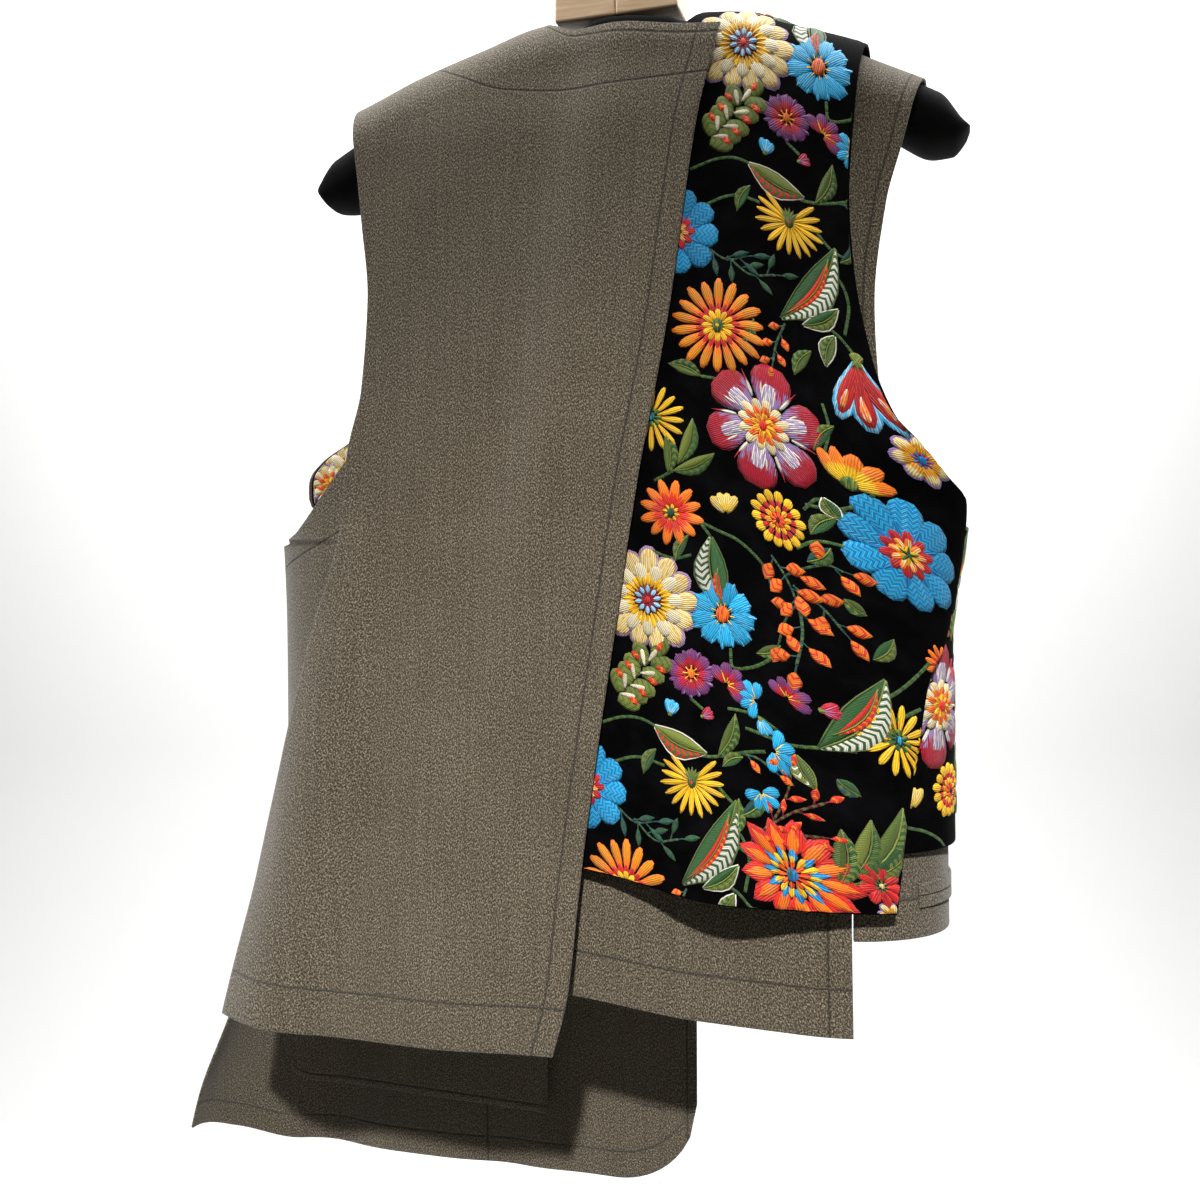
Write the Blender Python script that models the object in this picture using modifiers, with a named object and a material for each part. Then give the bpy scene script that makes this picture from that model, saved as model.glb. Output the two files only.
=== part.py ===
# Layered waistcoat of grey wool and embroidered velvet, hung on a wide hanger.
# Metres, +Z up. The origin is the point of the hook that bears on its rail.
# The wearer's back faces -Y. A "drop" is a height measured down from the origin.
import math

import bmesh
import bpy
import numpy as np

# Cloth
CLOTH = 0.002            # wall of the wool and of the velvet with its backing
LAYER_GAP = 0.0008       # between layers that lie on each other
SEAM_GAP = 0.0004        # between pieces that are sewn edge to edge
FACING_GAP = 0.0022      # between the left front and the facing inside its round armhole
LAYER = CLOTH + LAYER_GAP
STITCH_ROOM = 0.0046     # room under the left back for the raised embroidery of the right back

# Body that the cloth hangs round: straight across, with a quarter ellipse at each side
CORNER_LEFT = 0.100      # how far from the side the section starts to round
CORNER_RIGHT = 0.085
ROLL = 0.036             # height over which the cloth rolls over the shoulder
SHOULDER_SEAM = 0.0115   # how far in front of the ridge the shoulder seams lie

# Fronts
FRONT_EDGE = 0.038       # edge of the left front, past the middle
UNDERLAP = -0.030        # edge of the right front, under the left one
FRONT_CORNER = 0.062     # radius of the left front's bottom corner
BUTTON_X = 0.010
BUTTON_SPACING = 0.085
LOWEST_BUTTONHOLE = 0.883
BUTTON_RADIUS = 0.009
BUTTON_THICKNESS = 0.003
BUTTONS = 4

# Inner panel and armhole facing, both inside the left front
INSIDE_WALL = 0.0015
INNER_PANEL_LEFT = -0.293
INNER_PANEL_RIGHT = -0.075
INNER_PANEL_TOP = 0.770
INNER_PANEL_HEM = 0.896
INNER_PANEL_CORNER = 0.022
FACING_EDGE = -0.196
FACING_TOP = 0.360
FACING_BOTTOM = 0.455

# Right side: the armhole's drop at the side and where it meets the under back
RIGHT_ARMHOLE_LOW = 0.466
RIGHT_ARMHOLE_BACK = 0.428
VELVET_UNDER = 0.052     # how far the right back runs under the left back
VELVET_EDGE_LIFT = 0.006

# Welt pocket on the right front
POCKET_DROP = 0.680
WELT_HEIGHT = 0.0075
WELT_WALL = 0.0012
POCKET_LENGTH = 0.125
POCKET_END = 0.195       # x of its end on the back

# Hanger
HANGER_HALF_DEPTH = 0.026
HANGER_TOP_CENTRE = 0.1118
HANGER_GAP = 0.0009
BLOCK_HALF_WIDTH = 0.043
BLOCK_HALF_DEPTH = 0.015
BLOCK_BOTTOM = 0.1112
BLOCK_TOP = 0.058
BLOCK_SHOULDER = 0.088
BLOCK_JOINT = 0.0003
HOOK_WIRE = 0.002
HOOK_RADIUS = 0.021      # to the middle of the wire
HOOK_FOOT = 0.0577

GARMENT = "embroidered waistcoat"


def rows(columns, *values):
    """A table with named columns; the first column is what it is read by, and rises."""
    return dict(zip(columns.split(), np.array(values, dtype=float).T))


# Half widths and depths of the body at each drop.
BODY = rows("drop left right back front",
            (0.100, 0.330, 0.330, 0.034, 0.034),
            (0.150, 0.328, 0.325, 0.037, 0.037),
            (0.200, 0.325, 0.312, 0.045, 0.046),
            (0.300, 0.305, 0.285, 0.050, 0.052),
            (0.360, 0.288, 0.262, 0.052, 0.054),
            (0.417, 0.267, 0.238, 0.054, 0.055),
            (0.445, 0.258, 0.2230, 0.054, 0.056),
            (0.472, 0.2545, 0.2170, 0.055, 0.056),
            (0.530, 0.2520, 0.2110, 0.055, 0.057),
            (0.614, 0.2510, 0.2120, 0.056, 0.058),
            (0.700, 0.262, 0.2130, 0.056, 0.060),
            (0.767, 0.286, 0.215, 0.056, 0.062),
            (0.830, 0.311, 0.218, 0.056, 0.063),
            (0.890, 0.336, 0.220, 0.056, 0.064),
            (0.955, 0.352, 0.222, 0.056, 0.065))

# The ridge of the shoulders, on which the innermost cloth lies.
RIDGE = rows("x drop",
             (-0.215, 0.1680),
             (-0.183, 0.1570),
             (-0.143, 0.1415),
             (-0.089, 0.1252),
             (-0.055, 0.1160),
             (0.000, 0.1110),
             (0.055, 0.1190),
             (0.089, 0.1235),
             (0.122, 0.1370),
             (0.164, 0.1592),
             (0.200, 0.1780),
             (0.215, 0.1860))

# How far down the back each neckline lies, as an angle of the roll in degrees; minus is in front of the ridge.
UNDER_BACK_NECK = rows("x turn",
                       (-0.300, -18.3), (-0.068, -18.3), (-0.053, 24.0), (-0.026, 62.0), (0.020, 71.5),
                       (0.052, 69.5), (0.068, 28.0), (0.083, -18.3), (0.300, -18.3))
LEFT_BACK_NECK = rows("x turn",
                      (-0.300, -18.3), (-0.060, -18.3), (-0.046, 28.0), (-0.020, 61.0), (0.020, 68.5),
                      (0.100, 66.5))
RIGHT_BACK_NECK = rows("x turn",
                       (-0.100, 67.5), (0.046, 65.5), (0.061, 31.0), (0.074, -18.3), (0.300, -18.3))

# Edges, each as x against drop.
LEFT_BACK_FREE_EDGE = rows("drop x",
                           (0.145, -0.2070), (0.158, -0.1930), (0.172, -0.1830), (0.194, -0.1770),
                           (0.249, -0.1690), (0.301, -0.1630), (0.362, -0.1660), (0.405, -0.1750),
                           (0.453, -0.1780), (0.484, -0.1840), (0.518, -0.1950), (0.563, -0.2060),
                           (0.599, -0.2150), (0.661, -0.2310), (0.710, -0.2410), (0.797, -0.2590))
LEFT_BACK_RIGHT_EDGE = rows("drop x",
                            (0.120, 0.0830), (0.138, 0.0790), (0.197, 0.0660), (0.253, 0.0580),
                            (0.316, 0.0500), (0.378, 0.0400), (0.427, 0.0310), (0.508, 0.0190),
                            (0.589, 0.0070), (0.676, -0.0050), (0.751, -0.0130), (0.788, -0.0220))
RIGHT_BACK_EDGE = rows("drop x",
                       (0.145, 0.1670), (0.168, 0.1645), (0.195, 0.1620), (0.259, 0.1580),
                       (0.303, 0.1610), (0.351, 0.1700), (0.393, 0.1840), (0.406, 0.1945),
                       (0.425, 0.2080), (0.442, 0.2190), (0.474, 0.2165), (0.508, 0.2110),
                       (0.529, 0.2070), (0.552, 0.1990), (0.593, 0.1940), (0.634, 0.1880),
                       (0.687, 0.1820))
UNDER_BACK_LEFT_EDGE = rows("drop x",
                            (0.150, -0.1990), (0.170, -0.1760), (0.249, -0.1560), (0.301, -0.1500),
                            (0.342, -0.1520), (0.380, -0.1620), (0.405, -0.1760), (0.422, -0.1905),
                            (0.440, -0.2070), (0.450, -0.2170), (0.464, -0.2380), (0.473, -0.4000))
UNDER_BACK_RIGHT_EDGE = rows("drop x",
                             (0.168, 0.2030), (0.190, 0.1975), (0.227, 0.1885), (0.263, 0.1790),
                             (0.322, 0.1725), (0.370, 0.1750), (0.405, 0.1860), (0.428, 0.1960),
                             (0.433, 0.1955), (0.500, 0.1840), (0.600, 0.1660), (0.689, 0.1590),
                             (0.764, 0.1600))
LEFT_FRONT_ARMHOLE = rows("drop x",
                          (0.150, -0.1960), (0.180, -0.1820), (0.220, -0.1750), (0.300, -0.1780),
                          (0.350, -0.2000), (0.381, -0.2260), (0.402, -0.2500), (0.416, -0.2560),
                          (0.434, -0.2535), (0.450, -0.2450), (0.463, -0.2480), (0.473, -0.4000))
RIGHT_FRONT_ARMHOLE = rows("drop x",
                           (0.168, 0.2030), (0.190, 0.1740), (0.220, 0.1540), (0.260, 0.1460),
                           (0.300, 0.1450), (0.360, 0.1520), (0.400, 0.1680), (0.430, 0.1860),
                           (0.455, 0.2070), (0.466, 0.4000))
LEFT_NECK_EDGE = rows("drop x",
                      (0.120, -0.0570), (0.180, -0.0420), (0.260, -0.0110), (0.330, 0.0220),
                      (0.365, 0.0370), (0.400, FRONT_EDGE), (0.960, FRONT_EDGE))
RIGHT_NECK_EDGE = rows("drop x",
                       (0.120, 0.0750), (0.180, 0.0580), (0.260, 0.0260), (0.330, -0.0120),
                       (0.370, -0.0290), (0.400, UNDERLAP), (0.960, UNDERLAP))
RIGHT_FRONT_BACK_EDGE = dict(UNDER_BACK_RIGHT_EDGE, x=UNDER_BACK_RIGHT_EDGE["x"] + 2 * SEAM_GAP)
OVERLAY_BACK_EDGE = rows("drop x", (0.40, 0.170), (0.50, 0.150), (0.70, 0.138))

# Hems, each as drop against x.
LEFT_BACK_HEM = rows("x drop", (-0.262, 0.796), (-0.201, 0.7945), (-0.127, 0.7925), (-0.022, 0.788))
RIGHT_BACK_HEM = rows("x drop",
                      (-0.080, 0.666), (-0.005, 0.672), (0.062, 0.679), (0.107, 0.681), (0.182, 0.687))
UNDER_BACK_HEM = rows("x drop", (-0.300, 0.748), (-0.019, 0.756), (0.066, 0.763), (0.160, 0.764))
LEFT_FRONT_HEM = rows("x drop",
                      (-0.346, 0.914), (-0.330, 0.929), (-0.285, 0.947), (-0.129, 0.943), (-0.048, 0.941),
                      (FRONT_EDGE, 0.939))
RIGHT_FRONT_HEM = 0.706
OVERLAY_HEM = 0.653

# How far the outer layers stand off the body at each drop: the left back, the right back, and how much more
# the right back stands off at its free edge and at its middle.
STANDOFF = rows("drop outer velvet edge bulge",
                (0.100, 0.0034, 0.0028, 0.0060, 0.000),
                (0.200, 0.0034, 0.0034, 0.0040, 0.000),
                (0.300, 0.0040, 0.0046, 0.0030, 0.000),
                (0.400, 0.0060, 0.0085, 0.0032, 0.000),
                (0.500, 0.0085, 0.0090, 0.0020, 0.003),
                (0.600, 0.0130, 0.0092, 0.0000, 0.013),
                (0.690, 0.0170, 0.0095, 0.0000, 0.024),
                (0.790, 0.0210, 0.0095, 0.0000, 0.028))

# Soft folds of the outer wool: where each starts and ends, how wide it is, and how high.
FOLDS = rows("x drop xEnd dropEnd width height",
             (-0.150, 0.420, -0.215, 0.780, 0.022, 0.0045),
             (-0.060, 0.500, -0.105, 0.800, 0.040, 0.0035),
             (-0.020, 0.200, 0.010, 0.420, 0.030, 0.0016))
FRONT_FOLDS = rows("x drop xEnd dropEnd width height",
                   (-0.170, 0.560, -0.265, 0.960, 0.030, 0.0060),
                   (-0.060, 0.600, -0.110, 0.960, 0.030, 0.0050))

# Largest embroidered flower heads on the right back: centre, radius, petals, how deep the petals are cut, colour.
FLOWERS = rows("x drop radius petals notch colour",
               (0.097, 0.168, 0.025, 12, 0.10, 0),
               (0.143, 0.188, 0.017, 9, 0.12, 1),
               (0.121, 0.273, 0.020, 12, 0.16, 2),
               (0.080, 0.334, 0.028, 12, 0.16, 3),
               (0.110, 0.395, 0.035, 6, 0.28, 4),
               (0.161, 0.424, 0.016, 7, 0.20, 2),
               (0.050, 0.448, 0.019, 12, 0.18, 3),
               (0.119, 0.453, 0.016, 12, 0.08, 2),
               (0.186, 0.474, 0.032, 9, 0.20, 1),
               (0.043, 0.512, 0.025, 12, 0.10, 0),
               (0.089, 0.532, 0.018, 9, 0.12, 1),
               (0.064, 0.566, 0.013, 9, 0.12, 4),
               (0.175, 0.583, 0.020, 12, 0.16, 2),
               (0.071, 0.626, 0.020, 12, 0.16, 2),
               (0.020, 0.618, 0.022, 9, 0.20, 1),
               (0.127, 0.650, 0.026, 12, 0.20, 5))
FLOWER_WALL = 0.0012
FLOWER_GAP = 0.0007
FLOWER_DOME = 0.0010
FLOWER_COLOURS = ((0.86, 0.80, 0.50), (0.05, 0.42, 0.80), (0.90, 0.68, 0.04),
                  (0.90, 0.30, 0.03), (0.70, 0.03, 0.05), (0.80, 0.12, 0.03))
FLOWER_NAMES = ("cream", "blue", "yellow", "orange", "crimson", "red")


def read(table, column, at):
    """A column at a place in the table, joined by smooth curves that stay between the rows."""
    place = next(iter(table.values()))
    value = table[column]
    at = np.clip(at, place[0], place[-1])
    step = np.diff(place)
    slope = np.diff(value) / step
    turning = slope[:-1] * slope[1:] <= 0
    together = np.where(turning, 1.0, slope[:-1] + slope[1:])
    inner = np.where(turning, 0.0, 2 * slope[:-1] * slope[1:] / together)
    tangent = np.concatenate((slope[:1], inner, slope[-1:]))
    i = np.clip(np.searchsorted(place, at) - 1, 0, len(step) - 1)
    t = (at - place[i]) / step[i]
    start = (1 + 2 * t) * (1 - t) ** 2 * value[i] + t * (1 - t) ** 2 * step[i] * tangent[i]
    end = t * t * (3 - 2 * t) * value[i + 1] + t * t * (t - 1) * step[i] * tangent[i + 1]
    return start + end


def ease(value, low, high):
    """0 below low, 1 above high, and a smooth rise between."""
    t = np.clip((value - low) / (high - low), 0, 1)
    return t * t * (3 - 2 * t)


def section(girth, drop, face):
    """The parts of the body's section that a girth measured from the middle of a face needs."""
    width = np.where(girth < 0, read(BODY, "left", drop), read(BODY, "right", drop))
    corner = np.where(girth < 0, CORNER_LEFT, CORNER_RIGHT)
    back, front = read(BODY, "back", drop), read(BODY, "front", drop)
    near, far = (back, front) if face < 0 else (front, back)
    return width - corner, corner, near, far


def girth_at(x, drop, face, lift=0.0, around=False):
    """The girth at which a face reaches x; past the side it is the side seam, or x on the other face."""
    straight, corner, near, _ = section(x, drop, face)
    turn = np.arcsin(np.clip((np.abs(x) - straight) / (corner + lift), 0, 1))
    turn = np.where(around, math.pi - turn, turn)
    rounded = straight + turn * (near + corner) / 2
    return np.sign(x) * np.where((np.abs(x) < straight) & (not around), np.abs(x), rounded)


def drop_at(girth, path, lift=0.0):
    """The drop at a path measured down from the shoulder's ridge; the first stretch rolls over it."""
    turn = np.clip(path / ROLL, -math.pi / 2, math.pi / 2)
    down = np.maximum(path - ROLL * math.pi / 2, 0)
    return read(RIDGE, "drop", girth) + ROLL * (1 - np.cos(turn)) + down - lift * np.cos(turn)


def path_at(girth, drop):
    """The path that reaches a drop on the face's own side of the ridge."""
    below = drop - read(RIDGE, "drop", girth)
    turn = np.arccos(np.clip(1 - below / ROLL, 0, 1))
    return ROLL * turn + np.maximum(below - ROLL, 0)


def body(girth, path, lift, face):
    """A point of the body, moved out by lift, as an array of x, y, z."""
    turn = np.clip(path / ROLL, -math.pi / 2, math.pi / 2)
    drop = drop_at(girth, path, lift)
    straight, corner, near, far = section(girth, drop, face)
    side = np.clip((np.abs(girth) - straight) / ((near + corner) / 2), 0, math.pi)
    x = np.sign(girth) * (np.minimum(np.abs(girth), straight) + (corner + lift) * np.sin(side))
    depth = np.where(side < math.pi / 2, near, far) + lift
    y = face * depth * np.cos(side) * np.sin(turn)
    return np.stack(np.broadcast_arrays(x, y, -drop), axis=-1)


def fold_height(table, x, drop):
    """Sum of soft ridges, each along a slanting line and fading in from its start."""
    total = np.zeros(np.broadcast(x, drop).shape)
    for i in range(len(table["x"])):
        t = (drop - table["drop"][i]) / (table["dropEnd"][i] - table["drop"][i])
        middle = table["x"][i] + t * (table["xEnd"][i] - table["x"][i])
        fade = ease(t, 0.0, 0.5)
        total = total + table["height"][i] * fade * np.exp(-((x - middle) / table["width"][i]) ** 2)
    return total


def velvet_lift(girth, path):
    """The right back lies on the under back at the shoulder and bulges away from it above the hem."""
    drop = drop_at(girth, path)
    middle = np.exp(-((girth - 0.090) / 0.050) ** 2)
    outside = ease(girth, 0.120, 0.165)
    lift = read(STANDOFF, "velvet", drop) + read(STANDOFF, "bulge", drop) * middle
    return lift + read(STANDOFF, "edge", drop) * outside


def outer_lift(girth, path):
    """The left back lies on the under back, and on the right back where that runs under it."""
    drop = drop_at(girth, path)
    rim = read(LEFT_BACK_RIGHT_EDGE, "x", drop)
    over = ease(girth, rim - 0.105, rim - 0.060)
    free = read(STANDOFF, "outer", drop) + fold_height(FOLDS, girth, drop)
    above = np.maximum(velvet_lift(girth, path) + CLOTH + STITCH_ROOM, free)
    return free + (above - free) * over


def left_front_lift(girth, path):
    """The left front laps over both layers of the right one."""
    drop = drop_at(girth, path)
    lap = 2 * LAYER * ease(girth, -0.100, -0.045) * ease(drop, 0.15, 0.26)
    return lap + fold_height(FRONT_FOLDS, girth, drop)


def overlay_lift(girth, path):
    """The overlay lies on the right front, a little freer where it turns round the side."""
    return LAYER + 0.0016 * ease(np.abs(girth), 0.100, 0.160) + 0 * path


def welt_lift(girth, path):
    return np.full(np.broadcast(girth, path).shape, CLOTH + SEAM_GAP)


def no_lift(girth, path):
    return np.zeros(np.broadcast(girth, path).shape)


def edge(table, face, lift=0.0, around=False):
    """An edge table as a function that gives the girth at a drop; at the left side it stops at the side seam."""
    def reach(drop):
        girth = girth_at(read(table, "x", drop), drop, face, lift, around)
        return np.maximum(girth, girth_at(-1.0, drop, face, lift) + SEAM_GAP / 2)
    return reach


def hem(table, face):
    """A hem table as a function that gives the path at a girth."""
    def reach(girth):
        drop = np.full(np.shape(girth), 0.8)
        for _ in range(6):
            drop = read(table, "drop", body(girth, path_at(girth, drop), 0.0, face)[..., 0])
        return path_at(girth, drop)
    return reach


def level(drop):
    return lambda girth: path_at(girth, drop)


def roll_end(girth):
    """The path at which the cloth has turned over the shoulder and hangs."""
    return np.full(np.shape(girth), ROLL * math.pi / 2)


def lattice(left, right, levels, counts, columns, close=()):
    """Girth and path of a grid whose rows run down from level to level, and whose columns spread between
    the left and right edges, closer together near the places in close."""
    u = np.linspace(0, 1, 401)
    weight = np.ones(u.size) + sum(3.5 * np.exp(-((u - place) / 0.045) ** 2) for place in close)
    share = np.concatenate(([0], np.cumsum((weight[1:] + weight[:-1]) / 2)))
    u = np.interp(np.linspace(0, 1, columns + 1), share / share[-1], u)

    def row(upper, lower, t):
        girth = left(0.4) + (right(0.4) - left(0.4)) * u
        for _ in range(30):
            path = upper(girth) + (lower(girth) - upper(girth)) * t
            drop = drop_at(girth, path)
            girth = left(drop) + (right(drop) - left(drop)) * u
        return girth, path

    grid = [row(levels[0], levels[1], 0.0)]
    for upper, lower, count in zip(levels, levels[1:], counts):
        grid += [row(upper, lower, i / count) for i in range(1, count + 1)]
    return np.swapaxes(grid, 0, 1)


def cloth(name, grids, lift, face, colour, rough, wall=CLOTH):
    """One panel: grids of girth and path made into a surface, joined, and given its wall outwards."""
    mesh = bpy.data.meshes.new(name)
    shape = bmesh.new()
    for girth, path in grids:
        points = body(girth, path, lift(girth, path), face)
        tall, wide = girth.shape
        corners = [shape.verts.new(p) for p in points.reshape(-1, 3)]
        for r in range(tall - 1):
            for c in range(wide - 1):
                a, b = corners[r * wide + c], corners[r * wide + c + 1]
                d, e = corners[(r + 1) * wide + c], corners[(r + 1) * wide + c + 1]
                shape.faces.new((a, d, e, b) if face < 0 else (a, b, e, d))
    bmesh.ops.remove_doubles(shape, verts=shape.verts, dist=0.00002)
    shape.to_mesh(mesh)
    shape.free()
    mesh.shade_smooth()
    piece = add(name, mesh, colour, rough)
    solidify = piece.modifiers.new("wall", "SOLIDIFY")
    solidify.thickness = wall
    solidify.offset = 1.0
    solidify.use_even_offset = True
    return piece


def add(name, mesh, colour, rough, metallic=0.0):
    """A named object in the garment's collection, with its own material."""
    piece = bpy.data.objects.new(name, mesh)
    bpy.data.collections[GARMENT].objects.link(piece)
    material = bpy.data.materials.new(name)
    material.use_nodes = True
    shader = material.node_tree.nodes["Principled BSDF"]
    shader.inputs["Base Color"].default_value = (*colour, 1.0)
    shader.inputs["Roughness"].default_value = rough
    shader.inputs["Metallic"].default_value = metallic
    mesh.materials.append(material)
    return piece


WOOL = (0.115, 0.098, 0.080)
WOOL_INSIDE = (0.095, 0.082, 0.066)
VELVET = (0.012, 0.011, 0.014)
BLACK = (0.016, 0.016, 0.018)


def neck(table):
    """A neckline table as a function that gives the path at a girth."""
    return lambda girth: np.radians(read(table, "turn", girth)) * ROLL


def start_front(girth):
    return np.full(np.shape(girth), SHOULDER_SEAM + SEAM_GAP)


def backs():
    under = lattice(edge(UNDER_BACK_LEFT_EDGE, -1), edge(UNDER_BACK_RIGHT_EDGE, -1),
                    (neck(UNDER_BACK_NECK), roll_end, level(0.350), level(0.473), hem(UNDER_BACK_HEM, -1)),
                    (8, 5, 7, 8), 22, close=(0.36, 0.67))
    cloth("under_back", [under], no_lift, -1, WOOL, 0.95)

    velvet_left = dict(LEFT_BACK_RIGHT_EDGE, x=LEFT_BACK_RIGHT_EDGE["x"] - VELVET_UNDER)
    velvet = lattice(edge(velvet_left, -1), edge(RIGHT_BACK_EDGE, -1, VELVET_EDGE_LIFT),
                     (neck(RIGHT_BACK_NECK), roll_end, level(0.350), level(0.530), hem(RIGHT_BACK_HEM, -1)),
                     (8, 6, 9, 6), 13, close=(0.24, 0.95))
    cloth("right_back", [velvet], velvet_lift, -1, VELVET, 0.85)

    outer = lattice(edge(LEFT_BACK_FREE_EDGE, -1), edge(LEFT_BACK_RIGHT_EDGE, -1),
                    (neck(LEFT_BACK_NECK), roll_end, level(0.360), level(0.520), hem(LEFT_BACK_HEM, -1)),
                    (8, 6, 7, 8), 13, close=(0.53,))
    cloth("left_back", [outer], outer_lift, -1, WOOL, 0.95)


def left_front_hem(girth):
    """The left front's hem, with its round front corner."""
    plain = hem(LEFT_FRONT_HEM, 1)(girth)
    inside = np.clip(girth - (FRONT_EDGE - FRONT_CORNER), 0, FRONT_CORNER)
    return plain - FRONT_CORNER + np.sqrt(FRONT_CORNER ** 2 - inside ** 2)


def inner_hem(girth):
    """The inner panel's lower edge, with a round outer corner."""
    outer = girth_at(INNER_PANEL_LEFT, 0.87, 1)
    inside = np.clip(outer + INNER_PANEL_CORNER - girth, 0, INNER_PANEL_CORNER)
    corner = np.sqrt(INNER_PANEL_CORNER ** 2 - inside ** 2)
    return path_at(girth, INNER_PANEL_HEM) - INNER_PANEL_CORNER + corner


def line(x, face):
    """An upright edge at x, as a function that gives the girth at a drop."""
    return lambda drop: girth_at(x, drop, face) + 0 * drop


def inside(gap):
    """The lift of a piece that lies inside the left front, past a gap."""
    return lambda girth, path: np.full(girth.shape, -INSIDE_WALL - gap)


def left_front():
    grid = lattice(edge(LEFT_FRONT_ARMHOLE, 1), edge(LEFT_NECK_EDGE, 1),
                   (start_front, roll_end, level(0.330), level(0.473), left_front_hem), (6, 5, 7, 11), 20)
    cloth("left_front", [grid], left_front_lift, 1, WOOL, 0.95)

    inner = lattice(line(INNER_PANEL_LEFT, 1), line(INNER_PANEL_RIGHT, 1),
                    (level(INNER_PANEL_TOP), inner_hem), (6,), 12)
    cloth("left_front_inner_panel", [inner], inside(LAYER_GAP), 1, WOOL_INSIDE, 0.95, INSIDE_WALL)

    facing = lattice(edge(LEFT_FRONT_ARMHOLE, 1), line(FACING_EDGE, 1),
                     (level(FACING_TOP), level(FACING_BOTTOM)), (7,), 5)
    cloth("left_armhole_facing", [facing], inside(FACING_GAP), 1, VELVET, 0.85, INSIDE_WALL)


def right_side(drop):
    """The girth of the right side seam."""
    return girth_at(0.4, drop, 1)


def side_top(girth):
    """The right armhole's rise from the side to where it meets the under back."""
    start = right_side(RIGHT_ARMHOLE_LOW)
    end = edge(RIGHT_FRONT_BACK_EDGE, 1, around=True)(RIGHT_ARMHOLE_BACK)
    t = np.clip((girth - start) / (end - start), 0, 1)
    return path_at(girth, RIGHT_ARMHOLE_LOW + (RIGHT_ARMHOLE_BACK - RIGHT_ARMHOLE_LOW) * t ** 1.6)


def right_front():
    for name, reach, low, counts, lift, colour in (
            ("right_front", RIGHT_FRONT_BACK_EDGE, (level(OVERLAY_HEM), level(RIGHT_FRONT_HEM)), (8, 2),
             no_lift, WOOL),
            ("right_front_overlay", OVERLAY_BACK_EDGE, (level(OVERLAY_HEM),), (8,), overlay_lift, VELVET)):
        stops = (start_front, roll_end, level(0.330), level(0.430), level(RIGHT_ARMHOLE_LOW)) + low
        front = lattice(edge(RIGHT_NECK_EDGE, 1), edge(RIGHT_FRONT_ARMHOLE, 1),
                        stops, (6, 4, 4, 3) + counts, 12, close=(0.93,))
        wrap = lattice(right_side, edge(reach, 1, around=True), (side_top,) + low, counts, 10)
        cloth(name, [front, wrap], lift, 1, colour, 0.95)


def pocket():
    """Two lips along the pocket's mouth, round the right side."""
    start = girth_at(POCKET_END, POCKET_DROP, 1, around=True)
    for name, low, high in (("pocket_welt_upper", -WELT_HEIGHT, 0.0),
                            ("pocket_welt_lower", SEAM_GAP, WELT_HEIGHT)):
        grid = lattice(lambda drop: start - POCKET_LENGTH + 0 * drop, lambda drop: start + 0 * drop,
                       (level(POCKET_DROP + low), level(POCKET_DROP + high)), (1,), 12)
        cloth(name, [grid], welt_lift, 1, WOOL, 0.95, WELT_WALL)


def buttons():
    """Plain buttons on the closed fronts."""
    for i in range(BUTTONS):
        drop = LOWEST_BUTTONHOLE - BUTTON_SPACING * (i + 3)
        girth = np.array([BUTTON_X, BUTTON_X])
        path = path_at(girth, np.array([drop - BUTTON_RADIUS, drop + BUTTON_RADIUS]))
        top, low = body(girth, path, left_front_lift(girth, path) + CLOTH, 1)
        bpy.ops.mesh.primitive_cylinder_add(vertices=16, radius=BUTTON_RADIUS, depth=BUTTON_THICKNESS)
        mesh = bpy.context.object.data
        bpy.data.objects.remove(bpy.context.object)
        button = add("button_%d" % (i + 1), mesh, (0.05, 0.04, 0.035), 0.4)
        tilt = math.atan2(low[1] - top[1], top[2] - low[2])
        button.rotation_euler = (-math.pi / 2 + tilt, 0, 0)
        button.location = (BUTTON_X, (top[1] + low[1]) / 2 + BUTTON_THICKNESS / 2 + LAYER_GAP, -drop)
        bevel = button.modifiers.new("edge", "BEVEL")
        bevel.width = 0.0007
        bevel.segments = 1


def flowers():
    """Thin domes with petal outlines, laid on the right back's outer face."""
    for i in range(len(FLOWERS["x"])):
        x, drop, radius, petals, notch, colour = (column[i] for column in FLOWERS.values())
        around = np.linspace(0, 2 * math.pi, 24, endpoint=False)
        ring = np.array([0.001, 0.55, 1.0])[:, None]
        cut = 1 - notch * ring ** 2 * (0.5 - 0.5 * np.cos(petals * around))[None, :]
        middle = girth_at(x, drop, -1)
        girth = middle + radius * ring * cut * np.cos(around)
        path = path_at(girth, drop + radius * ring * cut * np.sin(around))
        dome = FLOWER_DOME * (1 - ring ** 2)
        points = body(girth, path, velvet_lift(girth, path) + CLOTH + FLOWER_GAP + dome, -1)
        name = "flower_%02d_%s" % (i + 1, FLOWER_NAMES[int(colour)])
        shape = bmesh.new()
        centre = shape.verts.new(points[0].mean(axis=0))
        rings = [[shape.verts.new(p) for p in points[r]] for r in (1, 2)]
        for k in range(24):
            n = (k + 1) % 24
            shape.faces.new((centre, rings[0][n], rings[0][k]))
            shape.faces.new((rings[0][n], rings[1][n], rings[1][k], rings[0][k]))
        mesh = bpy.data.meshes.new(name)
        shape.to_mesh(mesh)
        shape.free()
        flower = add(name, mesh, FLOWER_COLOURS[int(colour)], 0.6)
        solidify = flower.modifiers.new("wall", "SOLIDIFY")
        solidify.thickness = FLOWER_WALL
        solidify.offset = 1.0


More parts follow.
